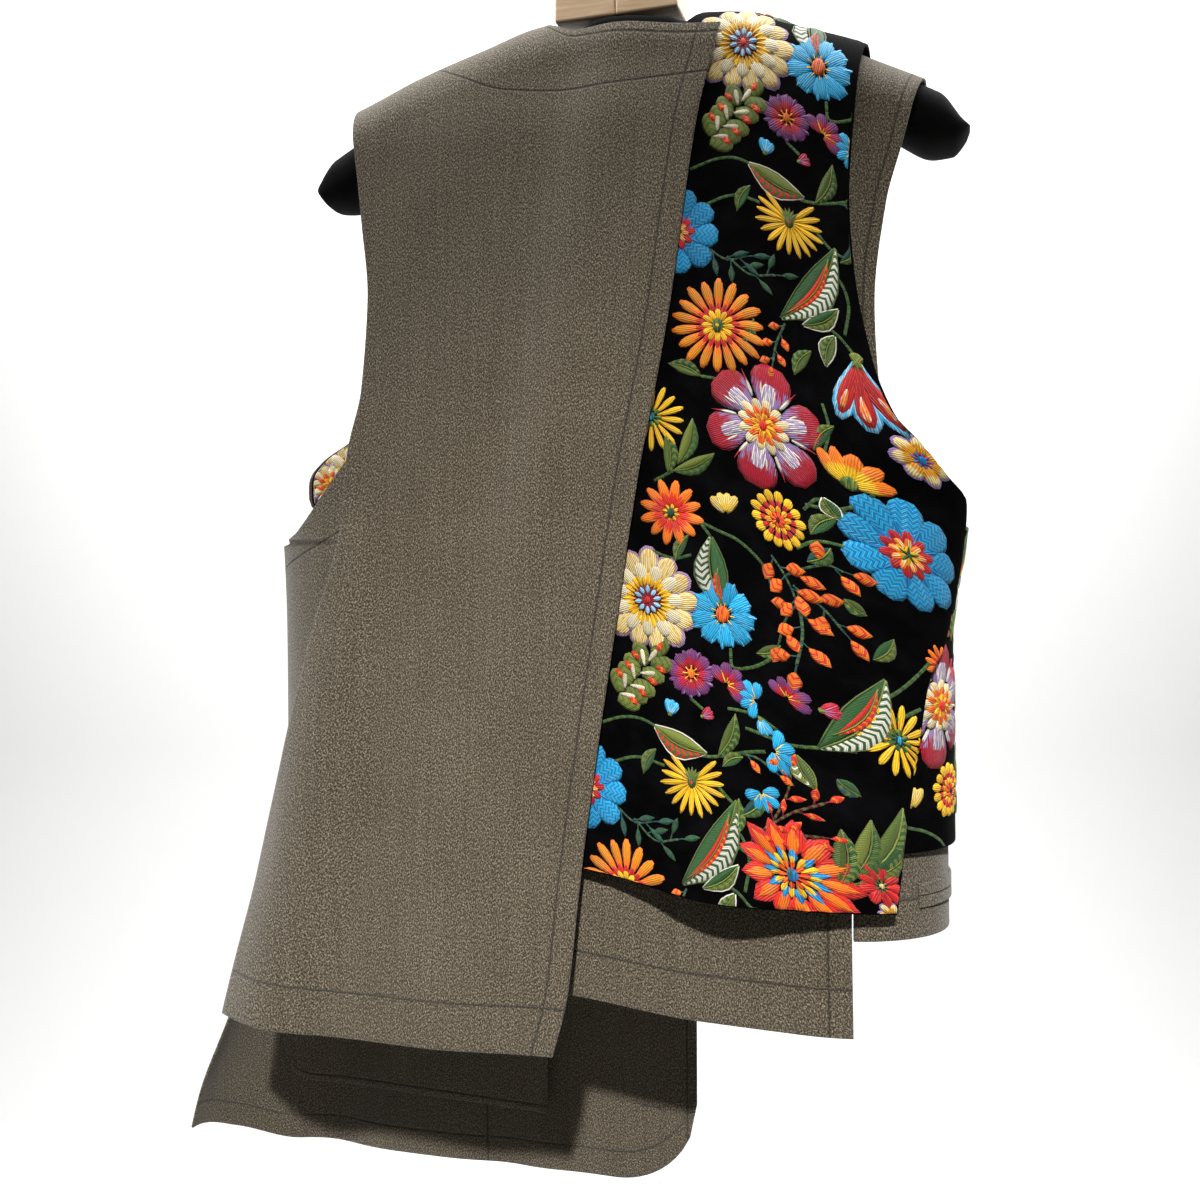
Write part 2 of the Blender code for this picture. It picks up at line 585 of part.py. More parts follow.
def hanger():
    """A wide bar with thick ends, a wooden block in two halves at its middle, and a wire hook."""
    profile = rows("reach bottom depth",
                   (0.000, 0.146, 0.60), (0.060, 0.152, 0.75), (0.120, 0.178, 0.92),
                   (0.180, 0.209, 1.00), (0.206, 0.2230, 0.98), (0.217, 0.2220, 0.88),
                   (0.225, 0.2130, 0.62), (0.2275, 0.2080, 0.25))
    reach = np.concatenate((np.linspace(0, 0.195, 14), [0.207, 0.217, 0.2235, 0.2275]))
    reach = np.concatenate((-reach[:0:-1], reach))
    size = np.abs(reach)
    inner = np.minimum(size, 0.207)
    over = np.maximum(read(RIDGE, "drop", inner), read(RIDGE, "drop", -inner)) + HANGER_GAP
    over = np.maximum(over, HANGER_TOP_CENTRE) + 0.024 * ease(size, 0.203, 0.2280) ** 1.5
    low = read(profile, "bottom", size)
    deep = read(profile, "depth", size) * HANGER_HALF_DEPTH
    angle = np.linspace(0, 2 * math.pi, 12, endpoint=False)
    round_y = np.sin(angle)
    round_z = np.where(np.cos(angle) > 0, np.cos(angle), -np.abs(np.cos(angle)) ** 0.7)
    middle, half = -(over + low) / 2, (low - over) / 2
    shape = bmesh.new()
    loops = []
    for k in range(len(reach)):
        loops.append([shape.verts.new((reach[k], deep[k] * s, middle[k] + half[k] * c))
                      for s, c in zip(round_y, round_z)])
    for first, second in zip(loops, loops[1:]):
        for k in range(len(angle)):
            n = (k + 1) % len(angle)
            shape.faces.new((first[k], second[k], second[n], first[n]))
    shape.faces.new(loops[0])
    shape.faces.new(loops[-1][::-1])
    bmesh.ops.recalc_face_normals(shape, faces=shape.faces)
    mesh = bpy.data.meshes.new("hanger_shoulders")
    shape.to_mesh(mesh)
    shape.free()
    mesh.shade_smooth()
    add("hanger_shoulders", mesh, BLACK, 0.75)

    for name, sign in (("hanger_neck_block_left", -1), ("hanger_neck_block_right", 1)):
        outline = [(BLOCK_JOINT / 2, BLOCK_BOTTOM), (BLOCK_HALF_WIDTH, BLOCK_BOTTOM),
                   (BLOCK_HALF_WIDTH, BLOCK_SHOULDER), (0.030, 0.070), (0.012, BLOCK_TOP),
                   (BLOCK_JOINT / 2, BLOCK_TOP)]
        curve = bpy.data.curves.new(name, "CURVE")
        curve.dimensions = "2D"
        curve.fill_mode = "BOTH"
        curve.extrude = BLOCK_HALF_DEPTH
        spline = curve.splines.new("POLY")
        spline.points.add(len(outline) - 1)
        for point, (x, drop) in zip(spline.points, outline):
            point.co = (sign * x, -drop, 0, 1)
        spline.use_cyclic_u = True
        guide = bpy.data.objects.new(name + "_outline", curve)
        bpy.data.collections[GARMENT].objects.link(guide)
        mesh = bpy.data.meshes.new_from_object(guide.evaluated_get(bpy.context.evaluated_depsgraph_get()))
        bpy.data.objects.remove(guide)
        shape = bmesh.new()
        shape.from_mesh(mesh)
        bmesh.ops.remove_doubles(shape, verts=shape.verts, dist=0.00001)
        bmesh.ops.recalc_face_normals(shape, faces=shape.faces)
        shape.to_mesh(mesh)
        shape.free()
        block = add(name, mesh, (0.72, 0.50, 0.28), 0.45)
        block.rotation_euler = (math.pi / 2, 0, 0)
        bevel = block.modifiers.new("edge", "BEVEL")
        bevel.width = 0.0015
        bevel.segments = 2

    centre = -(HOOK_RADIUS - HOOK_WIRE)
    bend = np.radians(np.linspace(-52, 205, 20))
    ring = np.stack((HOOK_RADIUS * np.cos(bend), centre + HOOK_RADIUS * np.sin(bend)), axis=1)
    foot = np.array([0.0, -HOOK_FOOT])
    t = np.linspace(0, 1, 7)[:-1, None]
    lead = np.array([0.0, 0.5 * (ring[0, 1] - HOOK_FOOT)])
    tangent = np.array([-math.sin(bend[0]), math.cos(bend[0])]) * 0.012
    shank = (1 - t) ** 3 * foot + 3 * t * (1 - t) ** 2 * lead
    shank = shank + 3 * t * t * (1 - t) * (ring[0] - tangent) + t ** 3 * ring[0]
    wire = np.concatenate((shank, ring))
    curve = bpy.data.curves.new("hanger_hook", "CURVE")
    curve.dimensions = "3D"
    curve.bevel_depth = HOOK_WIRE
    curve.bevel_resolution = 2
    curve.use_fill_caps = True
    spline = curve.splines.new("POLY")
    spline.points.add(len(wire) - 1)
    for point, (x, z) in zip(spline.points, wire):
        point.co = (x, 0, z, 1)
    add("hanger_hook", curve, (0.62, 0.62, 0.63), 0.3, 1.0)


def main():
    for old in list(bpy.data.objects):
        bpy.data.objects.remove(old)
    collection = bpy.data.collections.new(GARMENT)
    bpy.context.scene.collection.children.link(collection)
    backs()
    left_front()
    right_front()
    pocket()
    buttons()
    flowers()
    hanger()


main()
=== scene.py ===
# The look of the layered waistcoat: finer cloth over the solids, embroidery, stitching, light and camera.
import math
import bmesh
import bpy
import numpy as np
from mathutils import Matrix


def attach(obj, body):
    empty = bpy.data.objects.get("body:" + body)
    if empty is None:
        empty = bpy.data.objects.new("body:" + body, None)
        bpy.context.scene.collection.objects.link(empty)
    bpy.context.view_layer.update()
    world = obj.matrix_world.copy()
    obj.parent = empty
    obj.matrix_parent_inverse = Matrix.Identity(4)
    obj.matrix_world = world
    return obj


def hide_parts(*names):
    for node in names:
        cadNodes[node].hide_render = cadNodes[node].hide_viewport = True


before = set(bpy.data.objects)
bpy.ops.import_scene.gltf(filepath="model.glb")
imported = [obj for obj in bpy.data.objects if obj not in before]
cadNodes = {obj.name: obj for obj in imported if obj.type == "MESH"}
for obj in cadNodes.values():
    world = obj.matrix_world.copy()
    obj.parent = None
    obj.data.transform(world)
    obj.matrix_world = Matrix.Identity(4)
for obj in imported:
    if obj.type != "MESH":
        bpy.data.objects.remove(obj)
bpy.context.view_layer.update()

quarterTurn = math.pi / 2


# tables and curves

def table(columns, *rows):
    # rows of numbers under named columns; the first column is what it is read by, and rises
    return dict(zip(columns.split(), np.array(rows, dtype=float).T))


def read(rows, column, at):
    # cubic curves between the rows, with slopes that never overshoot them
    place = next(iter(rows.values()))
    value = rows[column]
    at = np.clip(at, place[0], place[-1])
    step = np.diff(place)
    slope = np.diff(value) / step
    turning = slope[:-1] * slope[1:] <= 0
    together = np.where(turning, 1.0, slope[:-1] + slope[1:])
    inner = np.where(turning, 0.0, 2 * slope[:-1] * slope[1:] / together)
    tangent = np.concatenate((slope[:1], inner, slope[-1:]))
    i = np.clip(np.searchsorted(place, at) - 1, 0, len(step) - 1)
    t = (at - place[i]) / step[i]
    start = (1 + 2 * t) * (1 - t) ** 2 * value[i] + t * (1 - t) ** 2 * step[i] * tangent[i]
    return start + t * t * (3 - 2 * t) * value[i + 1] + t * t * (t - 1) * step[i] * tangent[i + 1]


def ease(value, low, high):
    # 0 below low, 1 above high, 3t^2 - 2t^3 between
    t = np.clip((value - low) / (high - low), 0, 1)
    return t * t * (3 - 2 * t)


# the body that the cloth hangs round, in metres; a drop is a height below the hook's bearing point

bodyForm = dict(
    cloth=0.002, layerGap=0.0008, seamGap=0.0004, facingGap=0.0022, stitchRoom=0.0046,
    cornerLeft=0.100, cornerRight=0.085, roll=0.036, shoulderSeam=0.0115,
    sizes=table("drop left right back front",
                (0.100, 0.330, 0.330, 0.034, 0.034), (0.150, 0.328, 0.325, 0.037, 0.037),
                (0.200, 0.325, 0.312, 0.045, 0.046), (0.300, 0.305, 0.285, 0.050, 0.052),
                (0.360, 0.288, 0.262, 0.052, 0.054), (0.417, 0.267, 0.238, 0.054, 0.055),
                (0.445, 0.258, 0.2230, 0.054, 0.056), (0.472, 0.2545, 0.2170, 0.055, 0.056),
                (0.530, 0.2520, 0.2110, 0.055, 0.057), (0.614, 0.2510, 0.2120, 0.056, 0.058),
                (0.700, 0.262, 0.2130, 0.056, 0.060), (0.767, 0.286, 0.215, 0.056, 0.062),
                (0.830, 0.311, 0.218, 0.056, 0.063), (0.890, 0.336, 0.220, 0.056, 0.064),
                (0.955, 0.352, 0.222, 0.056, 0.065)),
    ridge=table("x drop",
                (-0.215, 0.1680), (-0.183, 0.1570), (-0.143, 0.1415), (-0.089, 0.1252), (-0.055, 0.1160),
                (0.000, 0.1110), (0.055, 0.1190), (0.089, 0.1235), (0.122, 0.1370), (0.164, 0.1592),
                (0.200, 0.1780), (0.215, 0.1860)))


def section(girth, drop, face):
    sizes = bodyForm["sizes"]
    width = np.where(girth < 0, read(sizes, "left", drop), read(sizes, "right", drop))
    corner = np.where(girth < 0, bodyForm["cornerLeft"], bodyForm["cornerRight"])
    back, front = read(sizes, "back", drop), read(sizes, "front", drop)
    near, far = (back, front) if face < 0 else (front, back)
    return width - corner, corner, near, far


def girthAt(x, drop, face, lift=0.0, around=False):
    # girth = straight part + corner angle x mean corner radius, at the place where the face reaches x
    straight, corner, near, _ = section(x, drop, face)
    turn = np.arcsin(np.clip((np.abs(x) - straight) / (corner + lift), 0, 1))
    turn = np.where(around, math.pi - turn, turn)
    return np.sign(x) * np.where((np.abs(x) < straight) & (not around), np.abs(x),
                                 straight + turn * (near + corner) / 2)


def dropAt(girth, path, lift=0.0):
    # ridge drop + roll x (1 - cos turn) + what hangs below the roll
    roll = bodyForm["roll"]
    turn = np.clip(path / roll, -quarterTurn, quarterTurn)
    rolled = read(bodyForm["ridge"], "drop", girth) + roll * (1 - np.cos(turn))
    return rolled + np.maximum(path - roll * quarterTurn, 0) - lift * np.cos(turn)


def pathAt(girth, drop):
    roll = bodyForm["roll"]
    below = drop - read(bodyForm["ridge"], "drop", girth)
    return roll * np.arccos(np.clip(1 - below / roll, 0, 1)) + np.maximum(below - roll, 0)


def onBody(girth, path, lift, face):
    # x = straight + (corner + lift) sin side; y = depth cos side sin turn; z = -drop
    turn = np.clip(path / bodyForm["roll"], -quarterTurn, quarterTurn)
    drop = dropAt(girth, path, lift)
    straight, corner, near, far = section(girth, drop, face)
    side = np.clip((np.abs(girth) - straight) / ((near + corner) / 2), 0, math.pi)
    x = np.sign(girth) * (np.minimum(np.abs(girth), straight) + (corner + lift) * np.sin(side))
    depth = np.where(side < quarterTurn, near, far) + lift
    return np.stack(np.broadcast_arrays(x, face * depth * np.cos(side) * np.sin(turn), -drop), axis=-1)


# grids and meshes

def clothGrid(left, right, stops, counts, columns):
    # rows between the stops, each spread evenly from the left to the right edge; settled by repeating
    u = np.linspace(0, 1, columns + 1)[None, :]
    girths, paths = [], []
    for k, (upper, lower, count) in enumerate(zip(stops, stops[1:], counts)):
        t = np.arange(1 if k else 0, count + 1)[:, None] / count
        girth = left(0.4) + (right(0.4) - left(0.4)) * u + 0 * t
        for _ in range(30):
            path = upper(girth) + (lower(girth) - upper(girth)) * t
            drop = dropAt(girth, path)
            girth = left(drop) + (right(drop) - left(drop)) * u
        girths.append(girth)
        paths.append(path)
    return np.concatenate(girths), np.concatenate(paths)


def newMesh(name, points, faces, uvs=None, attributes=None, weld=0.0):
    # points and equal-sided faces as arrays; uvs and attributes are per point
    mesh = bpy.data.meshes.new(name)
    sides = faces.shape[1]
    mesh.vertices.add(len(points))
    mesh.vertices.foreach_set("co", np.ascontiguousarray(points, dtype=np.float32).ravel())
    mesh.loops.add(faces.size)
    mesh.loops.foreach_set("vertex_index", faces.ravel().astype(np.int32))
    mesh.polygons.add(len(faces))
    mesh.polygons.foreach_set("loop_start", np.arange(0, faces.size, sides, dtype=np.int32))
    mesh.polygons.foreach_set("loop_total", np.full(len(faces), sides, dtype=np.int32))
    mesh.update(calc_edges=True)
    if uvs is not None:
        layer = mesh.uv_layers.new(name="cloth")
        layer.data.foreach_set("uv", uvs[faces.ravel()].astype(np.float32).ravel())
    for key, values in (attributes or {}).items():
        kind = "FLOAT" if values.ndim == 1 else "FLOAT_COLOR"
        stored = mesh.attributes.new(key, kind, "POINT")
        if kind == "FLOAT":
            stored.data.foreach_set("value", values.astype(np.float32))
        else:
            rgba = np.ones((len(values), 4), dtype=np.float32)
            rgba[:, :3] = values
            stored.data.foreach_set("color", rgba.ravel())
    if weld:
        shape = bmesh.new()
        shape.from_mesh(mesh)
        bmesh.ops.remove_doubles(shape, verts=shape.verts, dist=weld)
        shape.to_mesh(mesh)
        shape.free()
    mesh.shade_smooth()
    piece = bpy.data.objects.new(name, mesh)
    bpy.context.scene.collection.objects.link(piece)
    return piece


def gridFaces(tall, wide):
    index = np.arange(tall * wide).reshape(tall, wide)
    corners = (index[:-1, :-1], index[1:, :-1], index[1:, 1:], index[:-1, 1:])
    return np.stack(corners, axis=-1).reshape(-1, 4)


clothEdge = dict(weld=0.00003, soft=0.0007, steps=2, sharp=55.0)


def clothPiece(name, grids, lift, face, material, lines=None, wall=None):
    # one panel: each grid put on the body and given its wall outwards, edges rounded
    points, faces, uvs, marks, count = [], [], [], {}, 0
    for girth, path in grids:
        drop = dropAt(girth, path)
        points.append(onBody(girth, path, lift(girth, path), face).reshape(-1, 3))
        faces.append((gridFaces(*girth.shape) if face < 0 else gridFaces(*girth.shape)[:, ::-1]) + count)
        uvs.append(np.stack((girth, path), axis=-1).reshape(-1, 2))
        count += girth.size
        for key in ("lineA", "lineB", "lineC", "lineD"):
            value = lines(girth, path, drop).get(key, 1.0) if lines else 1.0
            marks.setdefault(key, []).append(np.broadcast_to(value, girth.shape).ravel())
    attributes = {key: np.concatenate(values) for key, values in marks.items()}
    piece = newMesh(name, np.concatenate(points), np.concatenate(faces), np.concatenate(uvs), attributes,
                    weld=clothEdge["weld"])
    piece.data.materials.append(material)
    solid = piece.modifiers.new("wall", "SOLIDIFY")
    solid.thickness = wall or bodyForm["cloth"]
    solid.offset = 1.0
    solid.use_even_offset = True
    softEdge = piece.modifiers.new("soft edge", "BEVEL")
    softEdge.width = clothEdge["soft"]
    softEdge.segments = clothEdge["steps"]
    softEdge.limit_method = "ANGLE"
    softEdge.angle_limit = math.radians(clothEdge["sharp"])
    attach(piece, "root")
    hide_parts(name.replace("Cloth", ""))
    return piece


# materials

class Wire:
    # a node's output with arithmetic: each operation adds its Math node
    def __init__(self, tree, socket):
        self.tree, self.socket = tree, socket

    def math(self, operation, *others, clamp=False):
        node = self.tree.nodes.new("ShaderNodeMath")
        node.operation = operation
        node.use_clamp = clamp
        for slot, value in zip(node.inputs, (self, *others)):
            if isinstance(value, Wire):
                self.tree.links.new(value.socket, slot)
            else:
                slot.default_value = value
        return Wire(self.tree, node.outputs[0])

    def __add__(self, other):
        return self.math("ADD", other)

    def __sub__(self, other):
        return self.math("SUBTRACT", other)

    def __rsub__(self, other):
        return self * -1 + other

    def __mul__(self, other):
        return self.math("MULTIPLY", other)

    def __truediv__(self, other):
        return self.math("DIVIDE", other)

    def __pow__(self, other):
        return self.math("POWER", other)

    def __neg__(self):
        return self * -1

    __radd__ = __add__
    __rmul__ = __mul__


class Finish:
    # one material's node tree
    def __init__(self, name):
        self.material = bpy.data.materials.new(name)
        self.material.use_nodes = True
        self.tree = self.material.node_tree
        self.shader = self.tree.nodes["Principled BSDF"]

    def node(self, kind, settings=None, inputs=None, output=0):
        made = self.tree.nodes.new(kind)
        for key, value in (settings or {}).items():
            if key == "stops":
                ramp = made.color_ramp.elements
                while len(ramp) < len(value):
                    ramp.new(0.5)
                for element, (place, colour) in zip(ramp, value):
                    element.position = place
                    element.color = (*colour, 1.0) if hasattr(colour, "__len__") else (*[colour] * 3, 1.0)
            else:
                setattr(made, key, value)
        for key, value in (inputs or {}).items():
            if isinstance(value, Wire):
                self.tree.links.new(value.socket, made.inputs[key])
            else:
                made.inputs[key].default_value = value
        return Wire(self.tree, made.outputs[output])

    def uv(self, scale=(1.0, 1.0, 1.0), turn=0.0):
        place = self.node("ShaderNodeUVMap", {"uv_map": "cloth"})
        return self.node("ShaderNodeMapping", {},
                         {"Vector": place, "Scale": scale, "Rotation": (0.0, 0.0, turn)})

    def place(self, scale=(1.0, 1.0, 1.0)):
        spot = self.node("ShaderNodeTexCoord", output=3)
        return self.node("ShaderNodeMapping", {}, {"Vector": spot, "Scale": scale})

    def noise(self, vector, scale, detail=2.0, rough=0.5):
        return self.node("ShaderNodeTexNoise", {}, {"Vector": vector, "Scale": scale, "Detail": detail,
                                                    "Roughness": rough})

    def attribute(self, name, output=2):
        return self.node("ShaderNodeAttribute", {"attribute_name": name}, output=output)

    def ramp(self, value, *stops):
        return self.node("ShaderNodeValToRGB", {"stops": stops}, {"Fac": value})

    def range(self, value, low, high, toLow=0.0, toHigh=1.0):
        return self.node("ShaderNodeMapRange", {}, {"Value": value, "From Min": low, "From Max": high,
                                                    "To Min": toLow, "To Max": toHigh})

    def mix(self, factor, first, second, blend="MIX"):
        made = self.tree.nodes.new("ShaderNodeMix")
        made.data_type = "RGBA"
        made.blend_type = blend
        for slot, value in ((0, factor), (6, first), (7, second)):
            if isinstance(value, Wire):
                self.tree.links.new(value.socket, made.inputs[slot])
            else:
                made.inputs[slot].default_value = (*value, 1.0) if hasattr(value, "__len__") else value
        return Wire(self.tree, made.outputs[2])

    def done(self, colour, rough, height=None, relief=0.0005, strength=1.0, **fixed):
        for key, value in (("Base Color", colour), ("Roughness", rough)):
            if isinstance(value, Wire):
                self.tree.links.new(value.socket, self.shader.inputs[key])
            else:
                value = (*value, 1.0) if hasattr(value, "__len__") else value
                self.shader.inputs[key].default_value = value
        if height is not None:
            bump = self.node("ShaderNodeBump", {},
                             {"Height": height, "Strength": strength, "Distance": relief})
            self.tree.links.new(bump.socket, self.shader.inputs["Normal"])
        for key, value in fixed.items():
            self.shader.inputs[key.replace("_", " ")].default_value = value
        return self.material


woolLook = dict(dark=(0.013, 0.010, 0.005), middle=(0.076, 0.059, 0.036), pale=(0.370, 0.312, 0.222),
                fleckScale=1050.0, cloudScale=16.0, grooveWidth=0.0013, grooveDepth=1.1, stitchPitch=0.0028,
                thread=(0.030, 0.024, 0.018))


def woolCloth(name, shade=1.0):
    # heathered flannel: fine flecks, fibres along both threads, faint lengthwise streaks, stitched grooves
    # with painted shade in them
    look = woolLook
    f = Finish(name)
    fleck = f.noise(f.uv((1.0, 0.75, 1.0), 0.35), look["fleckScale"], 3.0, 0.7)
    fibre = f.noise(f.uv((1.0, 0.45, 1.0), -0.6), look["fleckScale"] * 1.6, 2.0, 0.6)
    streak = f.noise(f.uv((1.0, 0.035, 1.0)), 300.0, 3.0, 0.6)
    cloud = f.noise(f.uv(), look["cloudScale"], 4.0, 0.6)
    mixed = fleck * 0.60 + fibre * 0.42 + streak * 0.05 + cloud * 0.03
    tone = f.range(mixed, 0.437, 0.682)
    # a shade below 1 darkens every tone of this copy: painted shade
    shadedTones = [tuple(c * shade for c in look[key]) for key in ("dark", "middle", "pale")]
    colour = f.ramp(tone, (0.0, shadedTones[0]), (0.45, shadedTones[1]), (0.95, shadedTones[2]))
    grooveDentAndShade, dash = None, None
    along = {"lineA": 0, "lineB": 1, "lineC": 0, "lineD": 1}
    apart = f.node("ShaderNodeSeparateXYZ", {}, {"Vector": f.uv()})
    across = {0: apart, 1: Wire(f.tree, apart.socket.node.outputs[1])}
    for key, axis in along.items():
        away = f.attribute(key).math("ABSOLUTE")
        lineDentAndShade = 1 - (away / look["grooveWidth"]).math("MINIMUM", 1.0)
        step = (across[axis] * (math.tau / look["stitchPitch"])).math("SINE").math("GREATER_THAN", -0.45)
        stitch = (away.math("LESS_THAN", 0.00033)) * step
        grooveDentAndShade = lineDentAndShade if grooveDentAndShade is None else grooveDentAndShade.math("MAXIMUM", lineDentAndShade)
        dash = stitch if dash is None else dash.math("MAXIMUM", stitch)
    # painted shade: the wool colour darkened along each stitched groove, where the dent lies in shade
    colour = f.mix(grooveDentAndShade * 0.66, colour, tuple(c * shade for c in look["dark"]))
    colour = f.mix(dash * 0.85, colour, tuple(c * shade for c in look["thread"]))
    height = tone * 0.30 + f.noise(f.uv(), 420.0, 2.0) * 0.25 - grooveDentAndShade * look["grooveDepth"] + dash * 0.45
    return f.done(colour, 0.92, height, relief=0.0007, strength=0.75,
                  Sheen_Weight=0.25, Sheen_Roughness=0.5, Specular_IOR_Level=0.2)


velvetLook = dict(deep=(0.0008, 0.0007, 0.0009), crushed=(0.0034, 0.0031, 0.0038), pileScale=2600.0)


def velvetCloth(name):
    # black pile: nearly no colour, a dim sheen at grazing angles, crushed a little here and there
    look = velvetLook
    f = Finish(name)
    pile = f.noise(f.uv(), look["pileScale"], 2.0, 0.7)
    crush = f.noise(f.uv(), 38.0, 4.0, 0.6)
    colour = f.mix(f.range(crush, 0.42, 0.72), look["deep"], look["crushed"])
    return f.done(colour, f.range(pile, 0.3, 0.7, 0.65, 0.95), pile * 0.6 + crush * 0.5, relief=0.0006,
                  strength=0.6,
                  Sheen_Weight=0.012, Sheen_Roughness=0.30, Specular_IOR_Level=0.03)


wool = woolCloth("heathered wool flannel")
# the same wool at 0.86 of its brightness for the left front's inside and its inner panel: painted shade, as
# these lie in the garment's shade
woolPaintedShade = woolCloth("wool flannel with painted shade", 0.86)
velvet = velvetCloth("black velvet")
print("cloth materials made")


# the cloth panels

def edge(rows, face, lift=0.0, around=False):
    def reach(drop):
        girth = girthAt(read(rows, "x", drop), drop, face, lift, around)
        return np.maximum(girth, girthAt(-1.0, drop, face, lift) + bodyForm["seamGap"] / 2)
    return reach


def hem(rows, face):
    def reach(girth):
        drop = np.full(np.shape(girth), 0.8)
        for _ in range(6):
            drop = read(rows, "drop", onBody(girth, pathAt(girth, drop), 0.0, face)[..., 0])
        return pathAt(girth, drop)
    return reach


def neck(rows):
    return lambda girth: np.radians(read(rows, "turn", girth)) * bodyForm["roll"]


def level(drop):
    return lambda girth: pathAt(girth, drop)


def rollEnd(girth):
    return np.full(np.shape(girth), bodyForm["roll"] * quarterTurn)


def foldHeight(rows, x, drop):
    # sum of soft ridges, each along a slanting line and fading in from its start
    total = np.zeros(np.broadcast(x, drop).shape)
    for i in range(len(rows["x"])):
        t = (drop - rows["drop"][i]) / (rows["dropEnd"][i] - rows["drop"][i])
        middle = rows["x"][i] + t * (rows["xEnd"][i] - rows["x"][i])
        grown = rows["height"][i] * ease(t, 0.0, 0.5)
        total = total + grown * np.exp(-((x - middle) / rows["width"][i]) ** 2)
    return total


def slub(girth, path, height):
    # slow unevenness of hanging cloth, always outwards: products of sines of unlike lengths
    wave = np.sin(girth * 61 + 2 * np.sin(path * 9)) * np.sin(path * 23 + 1.3 * np.sin(girth * 17))
    wave = wave + 0.6 * np.sin(girth * 27 - path * 13)
    return height * (0.5 + 0.3 * wave)


standoff = table("drop outer velvet edge bulge",
                 (0.100, 0.0034, 0.0028, 0.0060, 0.000), (0.200, 0.0034, 0.0034, 0.0040, 0.000),
                 (0.300, 0.0040, 0.0046, 0.0030, 0.000), (0.400, 0.0060, 0.0085, 0.0032, 0.000),
                 (0.500, 0.0085, 0.0090, 0.0020, 0.003), (0.600, 0.0130, 0.0092, 0.0000, 0.013),
                 (0.690, 0.0170, 0.0095, 0.0000, 0.024), (0.790, 0.0210, 0.0095, 0.0000, 0.028))

leftBack = dict(
    neck=table("x turn", (-0.300, -18.3), (-0.060, -18.3), (-0.046, 28.0), (-0.020, 61.0), (0.020, 68.5),
               (0.100, 66.5)),
    freeEdge=table("drop x",
                   (0.145, -0.2070), (0.158, -0.1930), (0.172, -0.1830), (0.194, -0.1770), (0.249, -0.1690),
                   (0.301, -0.1630), (0.362, -0.1660), (0.405, -0.1750), (0.453, -0.1780), (0.484, -0.1840),
                   (0.518, -0.1950), (0.563, -0.2060), (0.599, -0.2150), (0.661, -0.2310), (0.710, -0.2410),
                   (0.797, -0.2590)),
    rightEdge=table("drop x",
                    (0.120, 0.0830), (0.138, 0.0790), (0.197, 0.0660), (0.253, 0.0580), (0.316, 0.0500),
                    (0.378, 0.0400), (0.427, 0.0310), (0.508, 0.0190), (0.589, 0.0070), (0.676, -0.0050),
                    (0.751, -0.0130), (0.788, -0.0220)),
    hem=table("x drop", (-0.262, 0.796), (-0.201, 0.7945), (-0.127, 0.7925), (-0.022, 0.788)),
    folds=table("x drop xEnd dropEnd width height",
                (-0.150, 0.420, -0.215, 0.780, 0.022, 0.0045),
                (-0.060, 0.500, -0.105, 0.800, 0.040, 0.0035),
                (-0.020, 0.200, 0.010, 0.420, 0.030, 0.0016)),
    facing=table("x drop", (-0.150, 0.130), (-0.124, 0.143), (-0.094, 0.156), (-0.066, 0.166),
                 (-0.003, 0.173), (0.064, 0.173)),
    hemDepth=0.030, edgeDepth=0.014, neckDepth=0.006)

rightBack = dict(
    neck=table("x turn", (-0.100, 67.5), (0.046, 65.5), (0.061, 31.0), (0.074, -18.3), (0.300, -18.3)),
    under=0.052,
    freeEdge=table("drop x",
                   (0.145, 0.1670), (0.168, 0.1645), (0.195, 0.1620), (0.259, 0.1580), (0.303, 0.1610),
                   (0.351, 0.1700), (0.393, 0.1840), (0.406, 0.1945), (0.425, 0.2080), (0.442, 0.2190),
                   (0.474, 0.2165), (0.508, 0.2110), (0.529, 0.2070), (0.552, 0.1990), (0.593, 0.1940),
                   (0.634, 0.1880), (0.687, 0.1820)),
    hem=table("x drop", (-0.080, 0.666), (-0.005, 0.672), (0.062, 0.679), (0.107, 0.681), (0.182, 0.687)))

underBack = dict(
    neck=table("x turn", (-0.300, -18.3), (-0.068, -18.3), (-0.053, 24.0), (-0.026, 62.0), (0.020, 71.5),
               (0.052, 69.5), (0.068, 28.0), (0.083, -18.3), (0.300, -18.3)),
    leftEdge=table("drop x",
                   (0.150, -0.1990), (0.170, -0.1760), (0.249, -0.1560), (0.301, -0.1500), (0.342, -0.1520),
                   (0.380, -0.1620), (0.405, -0.1760), (0.422, -0.1905), (0.440, -0.2070), (0.450, -0.2170),
                   (0.464, -0.2380), (0.473, -0.4000)),
    rightEdge=table("drop x",
                    (0.168, 0.2030), (0.190, 0.1975), (0.227, 0.1885), (0.263, 0.1790), (0.322, 0.1725),
                    (0.370, 0.1750), (0.405, 0.1860), (0.428, 0.1960), (0.433, 0.1955), (0.500, 0.1840),
                    (0.600, 0.1660), (0.689, 0.1590), (0.764, 0.1600)),
    hem=table("x drop", (-0.300, 0.748), (-0.019, 0.756), (0.066, 0.763), (0.160, 0.764)),
    dart=table("x drop", (-0.330, 0.468), (-0.262, 0.489), (-0.226, 0.480), (-0.196, 0.468),
               (-0.150, 0.440)),
    hemDepth=0.029, edgeDepth=0.012, armholeDepth=0.007)


def velvetLift(girth, path):
    # lies on the under back at the shoulder and bulges away from it above the hem
    drop = dropAt(girth, path)
    middle = np.exp(-((girth - 0.090) / 0.050) ** 2)
    lift = read(standoff, "velvet", drop) + read(standoff, "bulge", drop) * middle
    return lift + read(standoff, "edge", drop) * ease(girth, 0.120, 0.165)


